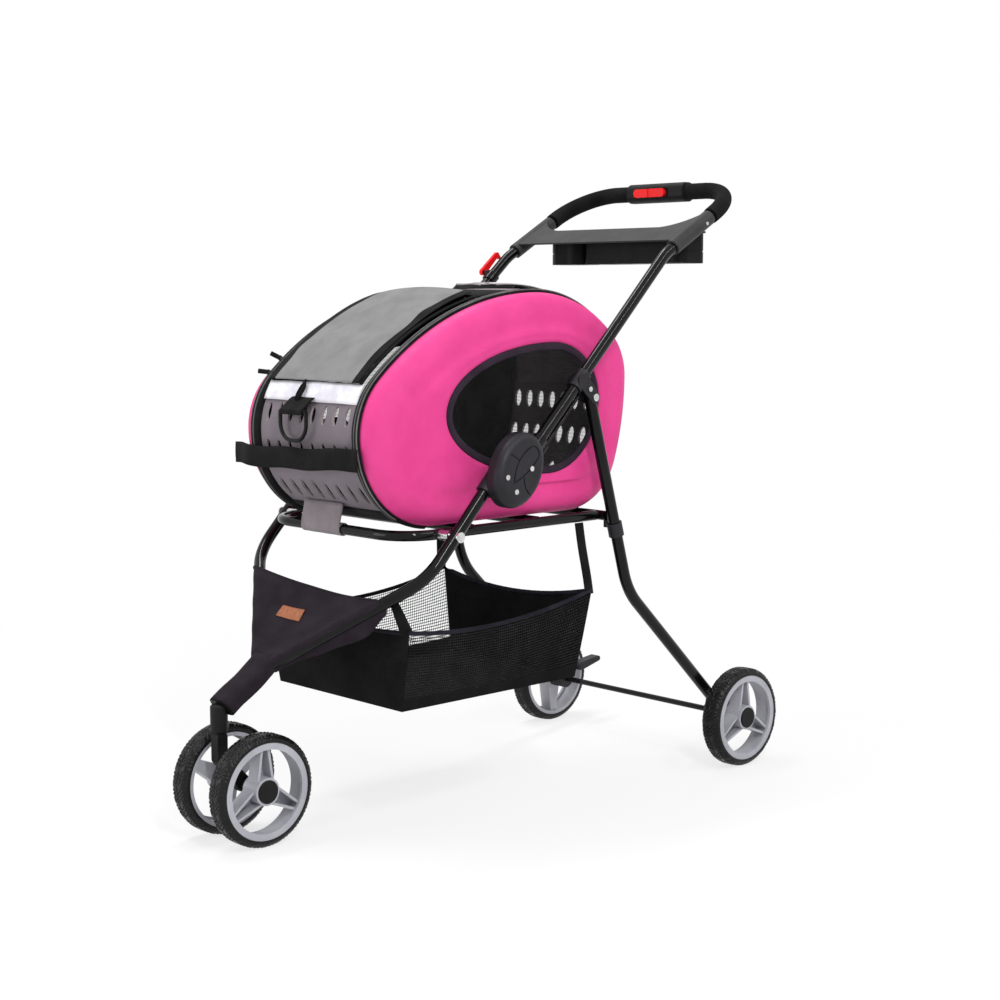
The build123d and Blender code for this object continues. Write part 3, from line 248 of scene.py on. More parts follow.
def make_plate():
    """Matt plastic whose slot walls, which face across the stroller, are painted paler: a painted highlight
    for the light they catch.
    """
    mat, shader, tree = material("plate_plastic", (0.127, 0.102, 0.125), 0.65, specular=0.2)
    body = mottle(tree, 18, (0.148, 0.127, 0.143), (0.170, 0.146, 0.165))
    # Painted highlight: the paler colour of the slot walls stands in for light falling on them
    wall = mottle(tree, 60, (0.30, 0.26, 0.27), (0.40, 0.35, 0.36))
    normal = add_node(tree, "NewGeometry").outputs["Normal"]
    lit_wall_mask = mask(tree, sideways(tree, normal), 0.3, 0.5)
    slotted = calculate(tree, "LESS_THAN", sideways(tree, coords(tree)), PLATE_HALF)
    mix_colours(tree, shader, calculate(tree, "MULTIPLY", lit_wall_mask, slotted), body, wall)
    roughen(tree, shader, 40, 0.6, 0.72)
    bump(tree, shader, noise(tree, 1500, 2), 0.2)
    return mat


def make_tray():
    """Satin grey fascia, which lies above a slope and at the ends, and black wells below it."""
    mat, shader, tree = material("tray_plastic", 0.04, 0.42, specular=0.08)
    fascia = mottle(tree, 18, 0.036, 0.048)
    wells = mottle(tree, 18, 0.004, 0.008)
    height = add_node(tree, "VectorMath", operation="DOT_PRODUCT")
    link(coords(tree), height.inputs[0])
    height.inputs[1].default_value = TRAY_NORMAL
    above = mask(tree, height.outputs["Value"], TRAY_LEVEL - TRAY_BLUR, TRAY_LEVEL + TRAY_BLUR)
    ends = mask(tree, sideways(tree, coords(tree)), TRAY_END, TRAY_END + TRAY_BLUR)
    mix_colours(tree, shader, calculate(tree, "MAXIMUM", above, ends), wells, fascia)
    roughen(tree, shader, 40, 0.36, 0.46)
    bump(tree, shader, noise(tree, 900, 2), 0.10)
    return mat


paint = make_paint()
steel = make_steel()
charcoal = plastic("charcoal_plastic", (0.011, 0.010, 0.013), (0.019, 0.017, 0.022), specular=0.25)
dark = plastic("dark_plastic", 0.006, 0.011, specular=0.12)
tray_look = make_tray()
foam = plastic("foam", 0.006, 0.012, rough=(0.85, 0.95), grain=1400, strength=0.5, specular=0.06)
red = plastic("red_plastic", (0.72, 0.008, 0.011), (0.82, 0.013, 0.016), rough=(0.25, 0.35), strength=0.03,
              specular=0.2)
rim_grey = plastic("rim_plastic", (0.34, 0.34, 0.38), (0.41, 0.41, 0.45), rough=(0.32, 0.42), strength=0.06)
tyre = plastic("tyre_rubber", 0.004, 0.008, rough=(0.27, 0.39), strength=0.2, specular=0.2)
pink = plastic("pink_shell", (0.65, 0.046, 0.228), (0.71, 0.055, 0.254), rough=(0.5, 0.65), grain=1200,
               strength=0.1, specular=0.18)
plate_grey = make_plate()
flap_cloth = cloth("flap_cloth", 0.195, 0.235, 1400)
belt_cloth = cloth("belt_cloth", 0.007, 0.013, 1000)
apron_nylon = cloth("apron_nylon", (0.015, 0.011, 0.015), (0.023, 0.018, 0.024), 1300)
nylon = cloth("nylon", 0.004, 0.008, 1300)
webbing = cloth("webbing", 0.006, 0.011, 700, axes=("X", "Z"))
webbing_grey = cloth("grey_webbing", (0.20, 0.175, 0.19), (0.25, 0.22, 0.235), 700, axes=("X", "Z"))
black_net = netting("black_net", 0.010, 0.0022, 0.40)
basket_net = netting("basket_net", 0.014, 0.0042, 0.42)
lining = cloth("lining", 0.008, 0.013, 1100)
binding_cloth = cloth("binding", (0.024, 0.016, 0.026), (0.036, 0.025, 0.038), 900)
trim_cloth = cloth("basket_trim", (0.012, 0.012, 0.018), (0.020, 0.020, 0.028), 900)
zip_teeth = plastic("zip_teeth", 0.03, 0.06, rough=(0.4, 0.5), grain=600, strength=0.8)
# Painted highlight: the piping is black, and its grey colour stands in for the light along it
piping_painted_highlight = cloth("piping", 0.10, 0.16, 900)
white_piping = cloth("white_piping", 0.70, 0.82, 900)
rear_cloth = cloth("rear_cloth", (0.20, 0.165, 0.185), (0.25, 0.21, 0.235), 1300)
satin = make_satin()
leather = make_leather()

looks = {
    "tyre": tyre, "rim_plastic": rim_grey, "dark_plastic": dark, "steel": steel,
    "charcoal_plastic": charcoal, "foam": foam, "red_plastic": red, "pink_shell": pink,
    "black_mesh": black_net, "belt_fabric": belt_cloth, "grey_plate": plate_grey, "grey_flap": flap_cloth,
    "black_fabric": nylon, "black_webbing": webbing, "grey_webbing": webbing_grey, "black_tube": paint,
}
special = {"tray": tray_look, "handle_box": dark, "caster_housing": dark, "caster_fork": dark,
           "rear_axle": paint, "tube_collars": paint}
for piece in frame["record"]["subparts"]:
    mesh = nodes[piece["node"]].data
    mesh.materials.clear()
    mesh.materials.append(special.get(piece["node"], looks[piece["material_slot"]]))


# Mesh helpers: points and sizes are in millimetres, and the objects come out in metres
SIDES = ((1, "left"), (-1, "right"))
X_AXIS = Vector((1, 0, 0))


def lengths(points):
    """Running lengths in metres along points and back to the first."""
    total = [0.0]
    for a, b in zip(points, [*points[1:], points[0]]):
        total.append(total[-1] + (Vector(b) - Vector(a)).length / 1000)
    return total


def add_object(name, data):
    obj = bpy.data.objects.new(name, data)
    bpy.context.collection.objects.link(obj)
    return obj


def grid(name, rows, mats, wrap=False, close=False, pick=None):
    """A skin over rows of points; wrap joins each row's ends, close joins the last row to the first.
    pick(row, column) gives a face its material's number. The UV map is in metres."""
    count = len(rows[0])
    across, along = lengths(rows[len(rows) // 2]), lengths([row[count // 2] for row in rows])
    faces, numbers, flat = [], [], []
    for r in range(len(rows) if close else len(rows) - 1):
        s = (r + 1) % len(rows)
        for c in range(count if wrap else count - 1):
            d = (c + 1) % count
            faces.append((r * count + c, r * count + d, s * count + d, s * count + c))
            numbers.append(pick(r, c) if pick else 0)
            u, v, next_u, next_v = across[c], along[r], across[c + 1], along[r + 1]
            flat += [u, v, next_u, v, next_u, next_v, u, next_v]
    mesh = bpy.data.meshes.new(name)
    mesh.from_pydata([tuple(c / 1000 for c in p) for row in rows for p in row], [], faces)
    for mat in mats:
        mesh.materials.append(mat)
    mesh.polygons.foreach_set("material_index", numbers)
    mesh.polygons.foreach_set("use_smooth", [True] * len(faces))
    mesh.uv_layers.new(name="UVMap").data.foreach_set("uv", flat)
    mesh.update()
    return add_object(name, mesh)


def flat_uv(obj):
    """UVs straight from the side view, in metres."""
    layer = obj.data.uv_layers["UVMap"]
    for loop in obj.data.loops:
        point = obj.data.vertices[loop.vertex_index].co
        layer.data[loop.index].uv = (point.y, point.z)


@contextmanager
def editing(obj):
    """An object's mesh as a bmesh, which is written back at the end."""
    work = bmesh.new()
    work.from_mesh(obj.data)
    yield work
    work.to_mesh(obj.data)
    work.free()


def thicken(obj, thickness, offset=-1.0, inner=0, subdivide=0):
    """Give a sheet a thickness in millimetres; inner shifts the material of the new faces."""
    if subdivide:
        round_off = obj.modifiers.new("smooth", "SUBSURF")
        round_off.levels = subdivide
        round_off.render_levels = subdivide
    solid = obj.modifiers.new("solid", "SOLIDIFY")
    solid.thickness = thickness / 1000
    solid.offset = offset
    solid.material_offset = inner
    solid.material_offset_rim = inner
    bpy.context.view_layer.update()
    graph = bpy.context.evaluated_depsgraph_get()
    sheet = obj.data
    obj.data = bpy.data.meshes.new_from_object(obj.evaluated_get(graph), depsgraph=graph)
    obj.modifiers.clear()
    bpy.data.meshes.remove(sheet)
    return obj


def face_out(obj):
    """Turn a closed skin's faces outward."""
    with editing(obj) as work:
        bmesh.ops.recalc_face_normals(work, faces=work.faces)
    return obj


def tube(name, points, radius, mat, sides=10, closed=False, flat=1.0, across=None):
    """A bar of round or flattened section; across is the direction that flat scales."""
    rows = []
    count = len(points)
    path = [Vector(p) for p in points]
    for i, p in enumerate(path):
        before = path[(i - 1) % count] if closed or i else path[0]
        after = path[(i + 1) % count] if closed or i < count - 1 else path[-1]
        along = (after - before).normalized()
        side = Vector(across or ((1, 0, 0) if abs(along.x) < 0.9 else (0, 1, 0)))
        side = (side - along * side.dot(along)).normalized()
        other = along.cross(side)
        rows.append([p + side * cos(2 * pi * k / sides) * radius * flat
                     + other * sin(2 * pi * k / sides) * radius for k in range(sides)])
    obj = grid(name, rows, [mat], wrap=True, close=closed)
    if not closed:
        with editing(obj) as work:
            bmesh.ops.holes_fill(work, edges=[e for e in work.edges if e.is_boundary])
    return face_out(obj)


def attach(obj, body, slot_name, *replaced):
    if replaced:
        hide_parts(*replaced)
    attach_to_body(obj, body)


def shares(count):
    """Even steps from 0 to 1."""
    return [i / count for i in range(count + 1)]


def wobble(*phases):
    """A smooth irregular value from -1 to 1, from sums of sines."""
    return sum(sin(p * (1.0 + 0.37 * i) + 1.7 * i) for i, p in enumerate(phases)) / len(phases)


def smooth(t):
    t = min(1.0, max(0.0, t))
    return t * t * (3 - 2 * t)


# Carrier outline in the side view, as arcs through four (y, z) places and along the floor
FLOOR_Z = 463.3
FRONT, TOP, REAR, LOW = (-317.0, 603.0), (42.0, 815.0), (233.0, 680.0), (208.0, 535.0)
ROOF_TURN = 43.6  # degrees that the roof's arc turns through, from the nose to the top
SPLIT = 45.0  # the angle at which the crown's arc meets the back's


def outline_arcs():
    """Arcs (centre y, centre z, radius, start, end) from the floor's front, over the roof, to its back."""
    turn = radians(ROOF_TURN)
    t, s, c = tan(turn / 2), sin(turn), cos(turn)
    nose = ((TOP[1] - FRONT[1]) - t * (TOP[0] - FRONT[0])) / (c - t * (1 - s))
    roof = (TOP[0] - FRONT[0] - nose * (1 - s)) / s
    s2, c2 = sin(radians(SPLIT)), cos(radians(SPLIT))
    share = s2 * c2 - (1 - s2) * (1 - c2)
    wide, high = REAR[0] - TOP[0], TOP[1] - REAR[1]
    crown = (wide * c2 - high * (1 - s2)) / share
    back = (high * s2 - wide * (1 - c2)) / share
    run, drop = REAR[0] - LOW[0], REAR[1] - LOW[1]
    lean_radius = (run * run + drop * drop) / (2 * run)
    lean = degrees(asin(drop / lean_radius))
    heel = (LOW[1] - FLOOR_Z) / (1 - sin(radians(lean)))
    toe = FRONT[1] - FLOOR_Z
    return (
        (FRONT[0] + toe, FRONT[1], toe, 270, 180),
        (FRONT[0] + nose, FRONT[1], nose, 180, 90 + ROOF_TURN),
        (TOP[0], TOP[1] - roof, roof, 90 + ROOF_TURN, 90),
        (TOP[0], TOP[1] - crown, crown, 90, SPLIT),
        (REAR[0] - back, REAR[1], back, SPLIT, 0),
        (REAR[0] - lean_radius, REAR[1], lean_radius, 0, -lean),
        (LOW[0] - heel * cos(radians(lean)), FLOOR_Z + heel, heel, -lean, -90),
    )


def outline_points(step):
    """Points (y, z, normal y, normal z) round the carrier, closed along the floor."""
    points = []
    arcs = outline_arcs()
    for cy, cz, radius, start, end in arcs:
        count = max(2, round(radius * abs(radians(end - start)) / step))
        for i in range(count):
            a = radians(start + (end - start) * i / count)
            points.append((cy + radius * cos(a), cz + radius * sin(a), cos(a), sin(a)))
    rear_y, front_y = arcs[-1][0], arcs[0][0]
    count = round((rear_y - front_y) / step)
    points += [(rear_y + (front_y - rear_y) * i / count, FLOOR_Z, 0.0, -1.0) for i in range(count)]
    return points


OUTLINE, FINE_OUTLINE = outline_points(6.0), outline_points(1.0)


def off(point, out):
    """The (y, z) of an outline point, stood off along its normal."""
    y, z, ny, nz = point
    return y + ny * out, z + nz * out


def between(start, end):
    """Outline points from one (y, z) to another, going over the roof to the back."""
    def nearest(target):
        away = [(y - target[0]) ** 2 + (z - target[1]) ** 2 for y, z, _, _ in OUTLINE]
        return away.index(min(away))
    a, b = nearest(start), nearest(end)
    return OUTLINE[a:b + 1] if a <= b else OUTLINE[a:] + OUTLINE[:b + 1]


def front_point(z, out):
    """The (y, z) of a place on the carrier's front at a height, stood off by out."""
    front_half = (p for p in FINE_OUTLINE if p[0] < FRONT[0] / 2)
    return off(min(front_half, key=lambda p: abs(p[1] - z)), out)


def strip_length(points, out):
    """Length of a strip along the outline, in metres."""
    line = [Vector(off(point, out)) for point in points]
    return sum((b - a).length for a, b in zip(line, line[1:])) / 1000


# Carrier shells: (inset from the outline, x) from the seam on, and (out of the window, x) at the lip
EDGE = ((0, 132.1), (0.3, 137), (1.2, 142), (3.2, 148), (6.6, 153.6), (11.5, 158.6), (17.5, 162.6),
        (24, 165.4), (29, 166.9), (33, 167.3), (37, 167.1), (42, 166.9), (47, 167.1), (52, 167.6))
LIP = ((12, 171.0), (8, 170.9), (5, 170.3), (2.5, 169.0), (1.0, 167.6), (0.6, 166.0))
SHELL_RINGS, SHELL_WALL, FACE_STEPS, FACE_DOME = 160, 4.0, 9, 2.2
# The teardrop window's quarters: centre y, centre z, half length, half height, start and end in degrees
WINDOW_QUARTERS = ((47, 630, 225, 106, 180, 90), (47, 645, 102, 91, 90, 0), (37, 645, 112, 113, 0, -90),
                   (37, 630, 215, 98, -90, -180))
WINDOW_MIDDLE, WINDOW_STEPS = (-13.0, 637.0), 120
BINDING_X, BINDING_RADIUS, BINDING_FLAT, BINDING_INSET = 167.4, 6.2, 0.42, 5.0
NET_X, NET_SAG, NET_INSET, NET_RINGS = 167.0, 2.5, 3.0, 12


def window_points(count, inset=0.0):
    """The window's edge as (y, z, normal y, normal z)."""
    points = []
    steps = count // len(WINDOW_QUARTERS)
    for cy, cz, a, b, start, end in WINDOW_QUARTERS:
        for i in range(steps):
            t = radians(start + (end - start) * i / steps)
            n = Vector((cos(t) / a, sin(t) / b)).normalized()
            points.append((cy + a * cos(t) - n.x * inset, cz + b * sin(t) - n.y * inset, n.x, n.y))
    return points


def window_area(inset):
    """Flat area of the window in square metres."""
    points = window_points(2 * WINDOW_STEPS, inset)
    total = sum(a[0] * b[1] - b[0] * a[1] for a, b in zip(points, points[1:] + points[:1]))
    return abs(total) / 2e6


def by_angle(points, count):
    """Resample a closed loop of (y, z, ny, nz) at even angles about the window's middle."""
    found = sorted((atan2(p[1] - WINDOW_MIDDLE[1], p[0] - WINDOW_MIDDLE[0]), p) for p in points)
    result = []
    for k in range(count):
        angle = -pi + 2 * pi * k / count
        hi = next((i for i, f in enumerate(found) if f[0] >= angle), 0)
        a, b = found[hi - 1], found[hi]
        span = (b[0] - a[0]) % (2 * pi) or 1e-9
        t = ((angle - a[0]) % (2 * pi)) / span
        result.append(tuple(u + (v - u) * t for u, v in zip(a[1], b[1])))
    return result


def shell_rows(side):
    edge = by_angle(OUTLINE, SHELL_RINGS)
    hole = by_angle(window_points(2 * WINDOW_STEPS), SHELL_RINGS)
    rows = [[(side * x, *off(point, -inset)) for point in edge] for inset, x in EDGE]
    (inset, x_edge), (grow, x_lip) = EDGE[-1], LIP[0]
    face = [(off(e, -inset), off(h, grow)) for e, h in zip(edge, hole)]
    for t in shares(FACE_STEPS)[1:-1]:
        x = x_edge + (x_lip - x_edge) * t + FACE_DOME * sin(pi * t)
        rows.append([(side * x, *(a * (1 - t) + b * t for a, b in zip(start, end))) for start, end in face])
    rows += [[(side * x, *off(point, out)) for point in hole] for out, x in LIP]
    return rows if side > 0 else [row[::-1] for row in rows]


def make_shell(side, name):
    """A lined skin and the binding round its window."""
    shell = grid(f"shell_skin_{name}", shell_rows(side), [pink, lining], wrap=True)
    thicken(shell, SHELL_WALL, inner=1)
    attach(shell, "carrier", "pink_shell", f"shell_{name}")
    line = [(side * BINDING_X, y, z) for y, z, _, _ in window_points(WINDOW_STEPS, BINDING_INSET)]
    binding = tube(f"window_binding_{name}", line, BINDING_RADIUS, binding_cloth, closed=True,
                   flat=BINDING_FLAT, across=(1, 0, 0))
    attach(binding, "carrier", "black_fabric")


def make_window_net(side, name):
    """Rings of net that dish in towards the window's middle, where one last face closes them."""
    middle_y, middle_z = WINDOW_MIDDLE
    rows = []
    for t in shares(NET_RINGS)[:-1]:
        x = side * (NET_X - NET_SAG * (1 - (1 - t) ** 2))
        rows.append([(x, middle_y + (y - middle_y) * (1 - t), middle_z + (z - middle_z) * (1 - t))
                     for y, z, _, _ in window_points(WINDOW_STEPS, NET_INSET)])
    net = grid(f"window_net_{name}", rows, [black_net], wrap=True)
    middle = Vector((0, middle_y / 1000, middle_z / 1000))
    with editing(net) as work:
        edges = [e for e in work.edges if e.is_boundary]
        edges.sort(key=lambda e: (e.verts[0].co - middle).length)
        bmesh.ops.holes_fill(work, edges=edges[:WINDOW_STEPS])
    flat_uv(net)
    window_area(NET_INSET)
    attach(net, "carrier", "black_mesh", f"window_{name}")


# Belt: black side bands, each with a zip and piping; the section is (x, height over the outline)
SIDE_BAND = ((107.5, -7.8), (111.5, -7.6), (113.5, -5.5), (114.2, 0.4), (117, 2.6), (120, 4.2),
             (122.5, 4.9), (123.8, 3.6), (125.4, 3.6), (127, 5.2), (129, 5.4), (131, 3.6), (132, 0.8),
             (132.8, -1.2), (134, -3.0))
BAND_WALL, FLOOR_LIFT = 2.0, 0.2
TRIM_Z = 480  # the zips and the piping stay above this height
# Name, x, height over the outline, radius and look
BAND_TRIM = (("zip", 124.6, 4.2, 1.6, zip_teeth), ("piping", 130.6, 4.4, 1.2, piping_painted_highlight))


def make_belt(side, name, *replaced):
    def place(x, out, point):
        on_floor = point[3] < -0.999
        return (side * x, *((point[0], FLOOR_Z + FLOOR_LIFT) if on_floor else off(point, out)))

    rows = [[place(x, out, point) for x, out in SIDE_BAND[::side]] for point in OUTLINE]
    band = grid(f"belt_band_{name}", rows, [belt_cloth, lining], close=True)
    thicken(band, BAND_WALL, inner=1)
    attach(band, "carrier", "belt_fabric", *replaced)
    for kind, x, out, radius, look in BAND_TRIM:
        line = [place(x, out, point) for point in OUTLINE if point[1] > TRIM_Z]
        attach(tube(f"{kind}_{name}", line, radius, look), "carrier", "belt_fabric")


# Cloth panels over the carrier's outline
PANEL_HALF, ROOF_HALF, FLAP_HALF = 114.0, 111.0, 111.5
PANEL_CUT, FLOOR_CUT, POCKET_CUT, FLAP_CUT = 0.232, 0.23, 0.21, 0.234  # widths of the cloth in metres
BANDS = ("belt_band_left", "belt_band_right")
ROOF_BEND = ((0, -0.312, 0.668), (0, -0.305, 0.688))  # where cloth bends as the roof opens
FLAP_BEND = ((0, -0.306, 0.688), (0, -0.297, 0.706))
NET_LIFT, NET_EDGE_LIFT, NET_EDGE_RADIUS = 5.0, 6.2, 4.0
POCKET_HALF, POCKET_ARCH, POCKET_COLUMNS, PIPING_INSET = 88, 0.5, 33, 11
FLAP_COLUMNS, FLAP_EDGE, FLAP_SHIFT, FLAP_LIFT, FLAP_BULGE = 41, 3, -4.0, 8.4, 9.0
CORNER_START, CORNER_REACH = 0.88, 30  # share of the flap's length, and how far its rear corners round off


def panel(name, points, half, outward, mats, thickness, columns=25, crown=0.0, ripple=0.0, pick=None):
    """A cloth panel over part of the outline, crowned across its width; it lies close under the floor."""
    rows = []
    for i, point in enumerate(points):
        row = []
        base = outward(i / (len(points) - 1))
        for share in shares(columns - 1):
            u = 2 * share - 1
            wave = wobble(u * 4 + i * 0.21, u * 7 - i * 0.13, i * 0.4 + u)
            out = (base + crown * (1 - u * u) + ripple * wave) * smooth((point[3] + 1) / 0.25)
            row.append((u * half, *off(point, out)))
        rows.append(row)
    return thicken(grid(name, rows, mats, pick=pick), thickness)


def declare(obj, width, points, out, *rests_on):
    """Work out the length of a panel's strip along the outline, and do nothing with it; the width in metres
    is not used.
    """
    length = strip_length(points, out)


def make_front_band():
    """White satin between the front plate and the roof."""
    points = between((-311, 655), (-302, 683))
    band = panel("white_band", points, PANEL_HALF, lambda t: 0.8 + 4.4 * t, [satin], 1.4, columns=41,
                 ripple=1.6)
    declare(band, PANEL_CUT, points, 6.6, *BANDS)
    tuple(ROOF_BEND[0])
    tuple(ROOF_BEND[1])
    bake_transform(band)


def make_belt_floor():
    points = between((195, 488), (-257, 488))
    floor = panel("belt_floor", points, PANEL_HALF, lambda t: 0.0, [belt_cloth], 2.5)
    declare(floor, FLOOR_CUT, points, 1.0, *BANDS)
    attach(floor, "carrier", "belt_fabric")


def make_roof_net():
    """The net that opens, and the edging along its sides and rear."""
    points = between((-300, 682), (-63, 800))
    net = panel("roof_net", points, ROOF_HALF, lambda t: NET_LIFT, [black_net], 0.6)
    declare(net, 2 * ROOF_HALF / 1000, points, NET_LIFT, "belt_band_left")
    attach(net, "roof_mesh", "black_mesh", "roof_mesh")
    side = ROOF_HALF - 2
    loop = [(-side, t) for t in shares(20)] + [(x, 1.0) for x in range(-98, 99, 7)]
    loop += [(side, 1 - t) for t in shares(20)]
    path = [(x, *off(points[round(t * (len(points) - 1))], NET_EDGE_LIFT)) for x, t in loop]
    edge = tube("roof_net_edge", path, NET_EDGE_RADIUS, belt_cloth, flat=0.5, across=(0, 0.3, 1))
    attach(edge, "roof_mesh", "belt_fabric")


def make_rear_panel():
    """Padded cloth behind the roof, black where it starts."""
    points = between((-60, 801), (232, 653))
    behind = panel("rear_panel", points, PANEL_HALF, lambda t: 5.0 - 5.2 * smooth((t - 0.6) / 0.4),
                   [rear_cloth, belt_cloth], 2.0, crown=1.5, ripple=0.5,
                   pick=lambda row, _: 1 if points[row][0] < -4 else 0)
    declare(behind, PANEL_CUT, points, 7.0, *BANDS)
    attach(behind, "carrier", "grey_flap")


def pocket_width(t):
    return POCKET_HALF * sqrt(max(0.0, 1 - (1 - min(1.0, t / POCKET_ARCH)) ** 2)) + 2


def pocket_rise(u, t):
    """0 at the pouch's edge, 1 on its face."""
    across = smooth((1 - abs(u)) * pocket_width(t) / 12)
    return across * smooth(t / 0.06) * smooth((1 - t) / 0.08)


def pocket_out(u, t):
    """How far the pouch stands off the carrier's outline."""
    belly = 4.0 * (1 - u * u) * sin(pi * t) + 0.8 * wobble(u * 5 + t * 6, u * 3 - t * 9)
    return 7.4 - 5.0 * smooth((t - 0.55) / 0.45) + (7.0 + belly) * pocket_rise(u, t)


def make_pocket():
    """A pouch with an arched front edge, piped in white, on a black gusset."""
    points = between((6, 812), (233, 672))
    last_row, last_column = len(points) - 1, POCKET_COLUMNS - 1
    rows, left, right = [], [], []
    for t, point in zip(shares(last_row), points):
        width = pocket_width(t)

        def place(u):
            return u * width, *off(point, pocket_out(u, t))

        rows.append([place(2 * share - 1) for share in shares(last_column)])
        if 0.05 < t < 0.95:
            lane = max(0.0, 1 - PIPING_INSET / width)
            left.append(place(-lane))
            right.append(place(lane))

    def pick(r, c):
        return 1 if pocket_rise(-1 + (2 * c + 1) / last_column, (r + 0.5) / last_row) < 0.8 else 0

    pocket = grid("rear_pocket", rows, [rear_cloth, belt_cloth], pick=pick)
    thicken(pocket, 1.4, subdivide=1)
    length = strip_length(points, 20.0)
    attach(pocket, "carrier", "grey_flap")
    piping = tube("pocket_piping", left[::-1] + right, 1.5, white_piping, sides=8)
    attach(piping, "carrier", "grey_flap")


def flap_out(u, t):
    """How far the flap stands off the outline, with a bulge at the rear, waves and two creases."""
    edge = smooth((1 - abs(u)) / 0.14)
    slack = smooth(t / 0.2) * smooth((1 - t) / 0.12)
    crease = exp(-((t - 0.42 - 0.22 * u) / 0.06) ** 2)
    crease -= 0.7 * exp(-((t - 0.62 + 0.16 * u) / 0.09) ** 2)
    out = FLAP_LIFT + 4.5 * (1 - u * u) * smooth(t / 0.25) * edge
    out += FLAP_BULGE * smooth((t - 0.35) / 0.5) * (1 - 0.5 * u * u) * smooth((1 - t) / 0.06)
    return out + edge * slack * (1.4 * wobble(u * 3 + t * 3, u * 2 - t * 7, t * 9 + u) + 2.4 * crease)


def make_flap():
    """Grey flap over the roof net, edged in black, with rounded rear corners."""
    points = between((-299, 684), (-54, 802))
    rows = []
    for t, point in zip(shares(len(points) - 1), points):
        turn = max(0.0, t - CORNER_START) / (1 - CORNER_START)
        width = FLAP_HALF - CORNER_REACH * (1 - sqrt(max(0.0, 1 - turn ** 2)))
        places = [2 * share - 1 for share in shares(FLAP_COLUMNS - 1)]
        rows.append([(u * width + FLAP_SHIFT, *off(point, flap_out(u, t))) for u in places])

    def pick(r, c):
        return 1 if min(c, FLAP_COLUMNS - 2 - c) < FLAP_EDGE or r >= len(points) - FLAP_EDGE else 0

    flap = grid("flap", rows, [flap_cloth, belt_cloth], pick=pick)
    thicken(flap, 1.2, offset=1.0, subdivide=1)
    strip_length(points, 18.0)
    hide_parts("roof_flap")
    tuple(FLAP_BEND[0])
    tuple(FLAP_BEND[1])
    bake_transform(flap)


# Front webbing: the strap across the front, the ring's tab, and the elastic loop above it
STRAP_X, STRAP_Y, STRAP_Z, STRAP_LENGTH, STRAP_WIDTH = -194, -324.6, 546, 330, 33
STRAP_BEND_X, STRAP_BEND_RUN, STRAP_BEND_BACK = -130, 64, 19  # its far end bends back past the carrier
RING_PIN_Y, RING_PIN_Z, RING_ROLL = -326.3, 636.0, 4.3
TAB_X, TAB_WIDTH = -42, 54
TAB_FRONT = ((657, -0.5), (654, 3.0), (650, 6.5), (646, 8.6))  # z, out of the front
TAB_BACK = ((-323.2, 633.8), (-321.5, 640), (-319.0, 646), (-316.5, 650))  # y, z
# The elastic loop's x, z and height out of the front
ELASTIC = ((-22.5, 650, 8), (-23.5, 656, 8.5), (-23.5, 662, 8), (-22.5, 669, 8), (-19.5, 675, 9.5),
           (-16.5, 669, 8), (-16.5, 662, 8), (-17, 656, 8.5), (-18, 650, 8))


def make_front_strap():
    rows = []
    for t in shares(60):
        x = STRAP_X + STRAP_LENGTH * t
        y = STRAP_Y + 0.5 * sin(t * 9) + STRAP_BEND_BACK * smooth((STRAP_BEND_X - x) / STRAP_BEND_RUN)
        low = STRAP_Z + 9 * t - 2.5 * sin(pi * t) + 1.2 * sin(t * 17)
        rows.append([(x, y - 0.8 * sin(pi * k / 6), low + STRAP_WIDTH * k / 6) for k in range(7)])
    strap = thicken(grid("front_strap", rows, [webbing]), 2.0, offset=0.0)
    attach(strap, "carrier", "black_webbing", "front_webbing")


def make_ring_tab():
    """A tab that comes off the front, rolls round the ring's pin and goes back under itself."""
    line = [front_point(z, out) for z, out in TAB_FRONT]
    for k in range(12):
        a = radians(70 - 162 * k / 11)
        line.append((RING_PIN_Y - RING_ROLL * cos(a), RING_PIN_Z + RING_ROLL * sin(a)))
    line += TAB_BACK
    rows = [[(TAB_X + TAB_WIDTH * k / 12, y + 0.3 * sin(k), z) for y, z in line] for k in range(13)]
    tab = thicken(grid("ring_tab", rows, [webbing]), 1.8, offset=0.0)
    attach(tab, "carrier", "black_webbing")


def make_elastic_loop():
    path = [(x, *front_point(z, out)) for x, z, out in ELASTIC]
    elastic = tube("elastic_loop", path, 3.0, webbing, flat=0.8)
    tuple(ROOF_BEND[0])
    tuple(ROOF_BEND[1])
    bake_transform(elastic)


def make_pull(name, place, along, across):
    """A zip pull: a slider on the zip, its bail, and a short flat tab lying along a direction."""
    p, d = Vector(place), Vector(along).normalized()
    wide = Vector(across)
    wide = (wide - d * wide.dot(d)).normalized()
    tab = tube(name, [p + d * s for s in (4, 5, 8, 13, 18, 21, 22)], 1.3, webbing, flat=2.9, across=wide)
    attach(tab, "carrier", "black_webbing")
    hoop = ((0, -2), (4, -3.2), (8, -2.6), (9, 0), (8, 2.6), (4, 3.2), (0, 2))
    bail = tube(f"{name}_bail", [p + d * s + wide * w for s, w in hoop], 1.2, charcoal, sides=8)
    attach(bail, "carrier", "charcoal_plastic")
    body = [p + d * s for s in (-6, -5, -1, 2, 3)]
    slider = tube(f"{name}_slider", body, 2.2, charcoal, flat=1.6, across=wide)
    attach(slider, "carrier", "charcoal_plastic")


# Tyres with a wavy tread, as rings of the profile
WHEEL_RADIUS, RIM_RADIUS, TYRE_HALF, SHOULDER = 85.0, 73.02, 18.0, 10.0
TREAD_GROUPS, STEPS_PER_GROUP, TREAD_DEPTH, TREAD_RADIUS = 20, 28, 2.6, 75.5
FRONT_WHEEL_X, REAR_WHEEL_X, AXLE_Y = 47.0, 233.84, 440.0


